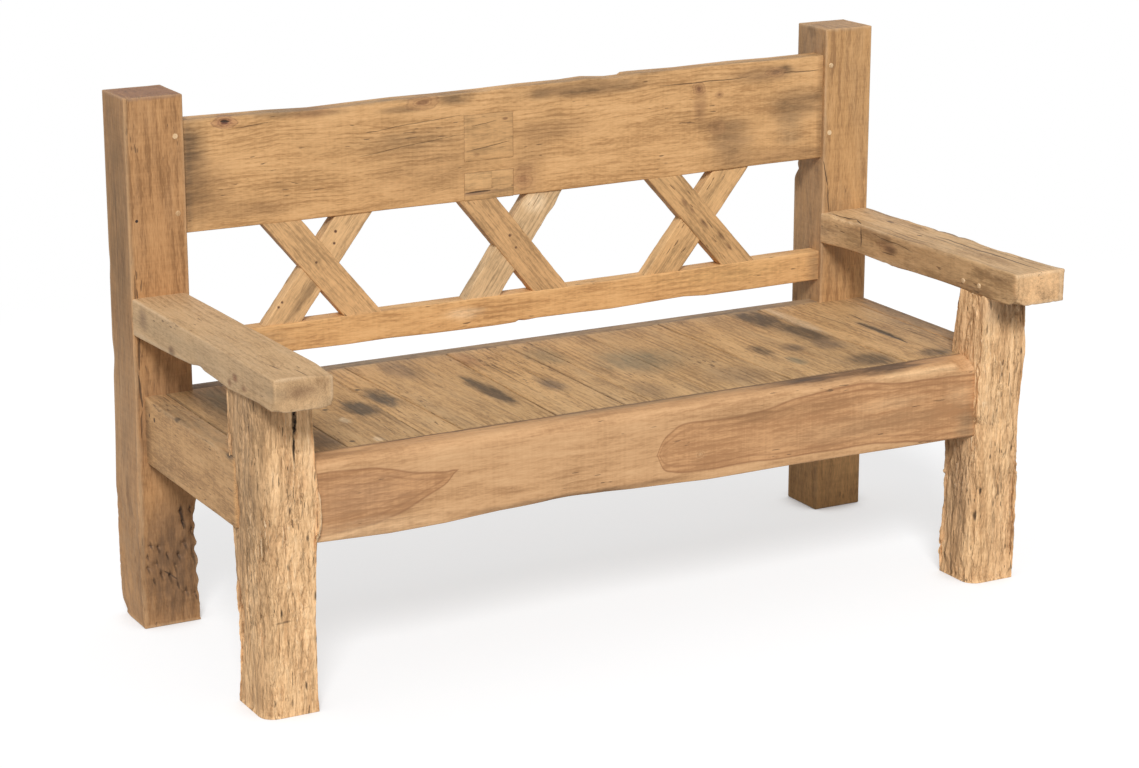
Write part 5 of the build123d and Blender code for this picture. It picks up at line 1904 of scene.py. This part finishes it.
@dataclass
class Studio:
    """The camera, the lamps and the floor. Places are in metres and turns in degrees."""

    camera_place: Point = (-2.3975, -4.3206, 1.8012)
    camera_turn: Point = (90 - 15.786, 0.014, -28.548)
    lens: float = 91.789
    sensor: float = 36
    key: float = 2.5
    key_way: Point = (-0.36, -0.70, 0.62)
    key_angle: float = 16
    ambient: float = 0.46
    floor_half: float = 20
    floor_glow: float = 0.52
    floor_white: float = 1.22

    def build(self) -> None:
        """Sets up the camera, the light and the floor."""
        scene = bpy.context.scene
        scene.view_settings.view_transform = "Standard"
        self.camera(scene)
        self.lamps(scene)
        self.floor()

    def camera(self, scene: bpy.types.Scene) -> None:
        """Adds the camera."""
        data = bpy.data.cameras.new("camera")
        data.lens, data.sensor_width, data.clip_end = self.lens, self.sensor, 100
        camera = bpy.data.objects.new("camera", data)
        camera.location = self.camera_place
        camera.rotation_euler = Euler([math.radians(angle) for angle in self.camera_turn])
        scene.collection.objects.link(camera)
        scene.camera = camera

    def lamps(self, scene: bpy.types.Scene) -> None:
        """Adds the key lamp and the even light all round, which the camera sees as plain white."""
        lamp = bpy.data.lights.new("key", "SUN")
        lamp.energy = self.key
        lamp.angle = math.radians(self.key_angle)
        key = bpy.data.objects.new("key", lamp)
        key.rotation_euler = Vector(self.key_way).normalized().to_track_quat("Z", "Y").to_euler()
        scene.collection.objects.link(key)
        world = scene.world or bpy.data.worlds.new("studio")
        scene.world = world
        world.use_nodes = True
        world.node_tree.nodes.clear()
        sketch = Sketch(world.node_tree)
        light = sketch.get("Background", {"Color": WHITE, "Strength": self.ambient})
        white = sketch.get("Background", {"Color": WHITE, "Strength": 1})
        path = sketch.outs(sketch.add("LightPath"))
        seen = sketch.math("MAXIMUM", path["Is Camera Ray"], path["Is Glossy Ray"])
        seen = sketch.math("MAXIMUM", seen, path["Is Transmission Ray"])
        sketch.add("OutputWorld", {"Surface": sketch.get("MixShader", {0: seen, 1: light, 2: white})})

    def floor(self) -> None:
        """Adds the pale floor, which fades to white away from the settle and darkens near the settle's feet as painted
        contact shade.
        """
        bpy.ops.object.select_all(action="DESELECT")
        bpy.ops.mesh.primitive_plane_add(size=2 * self.floor_half, location=(0, 0, -0.0002))
        bpy.ops.object.transform_apply(location=True, rotation=True, scale=True)
        floor = bpy.context.object
        floor.name = "floor"
        made, sketch = new_material("studio_floor")
        place = sketch.get("TexCoord", out="Object")
        fade = sketch.smooth((place * (0.75, 1, 0)).length(), 0.9, 2.6)
        seen = sketch.get("LightPath", out="Is Camera Ray")
        glow = fade.mad(1 - self.floor_glow, self.floor_glow)
        plain = sketch.get("BsdfDiffuse", {"Color": sketch.mix(seen, (0.62, 0.62, 0.62), (0.88, 0.885, 0.90))})
        # Painted contact shade: where ambient occlusion finds the settle close by, the white glow gives way to the
        # darker plain floor.
        near = sketch.get("AmbientOcclusion", {"Distance": 0.07}, "AO", samples=8)
        level = fade.mad(1 - self.floor_white, self.floor_white)
        white = sketch.get("Emission", {"Color": WHITE, "Strength": level})
        shown = seen * (glow * sketch.smooth(near, 0.25, 0.85))
        sketch.add("OutputMaterial", {"Surface": sketch.get("MixShader", {0: shown, 1: plain, 2: white})})
        floor.data.materials.append(made)


def main() -> None:
    """Builds the settle and its studio."""
    logging.basicConfig(level=logging.INFO, format="%(name)s %(message)s")
    Studio().build()
    for assembly in (BackPosts(), CrestBoard(), LowerBackRail(), CrossSlats(), Armrests(), FrontLegs(),
                     SeatRails(), SeatPlanks(), Pegs(), Bearers()):
        LOG.info("building %s", type(assembly).__name__)
        assembly.build()


if __name__ == "__main__":
    main()
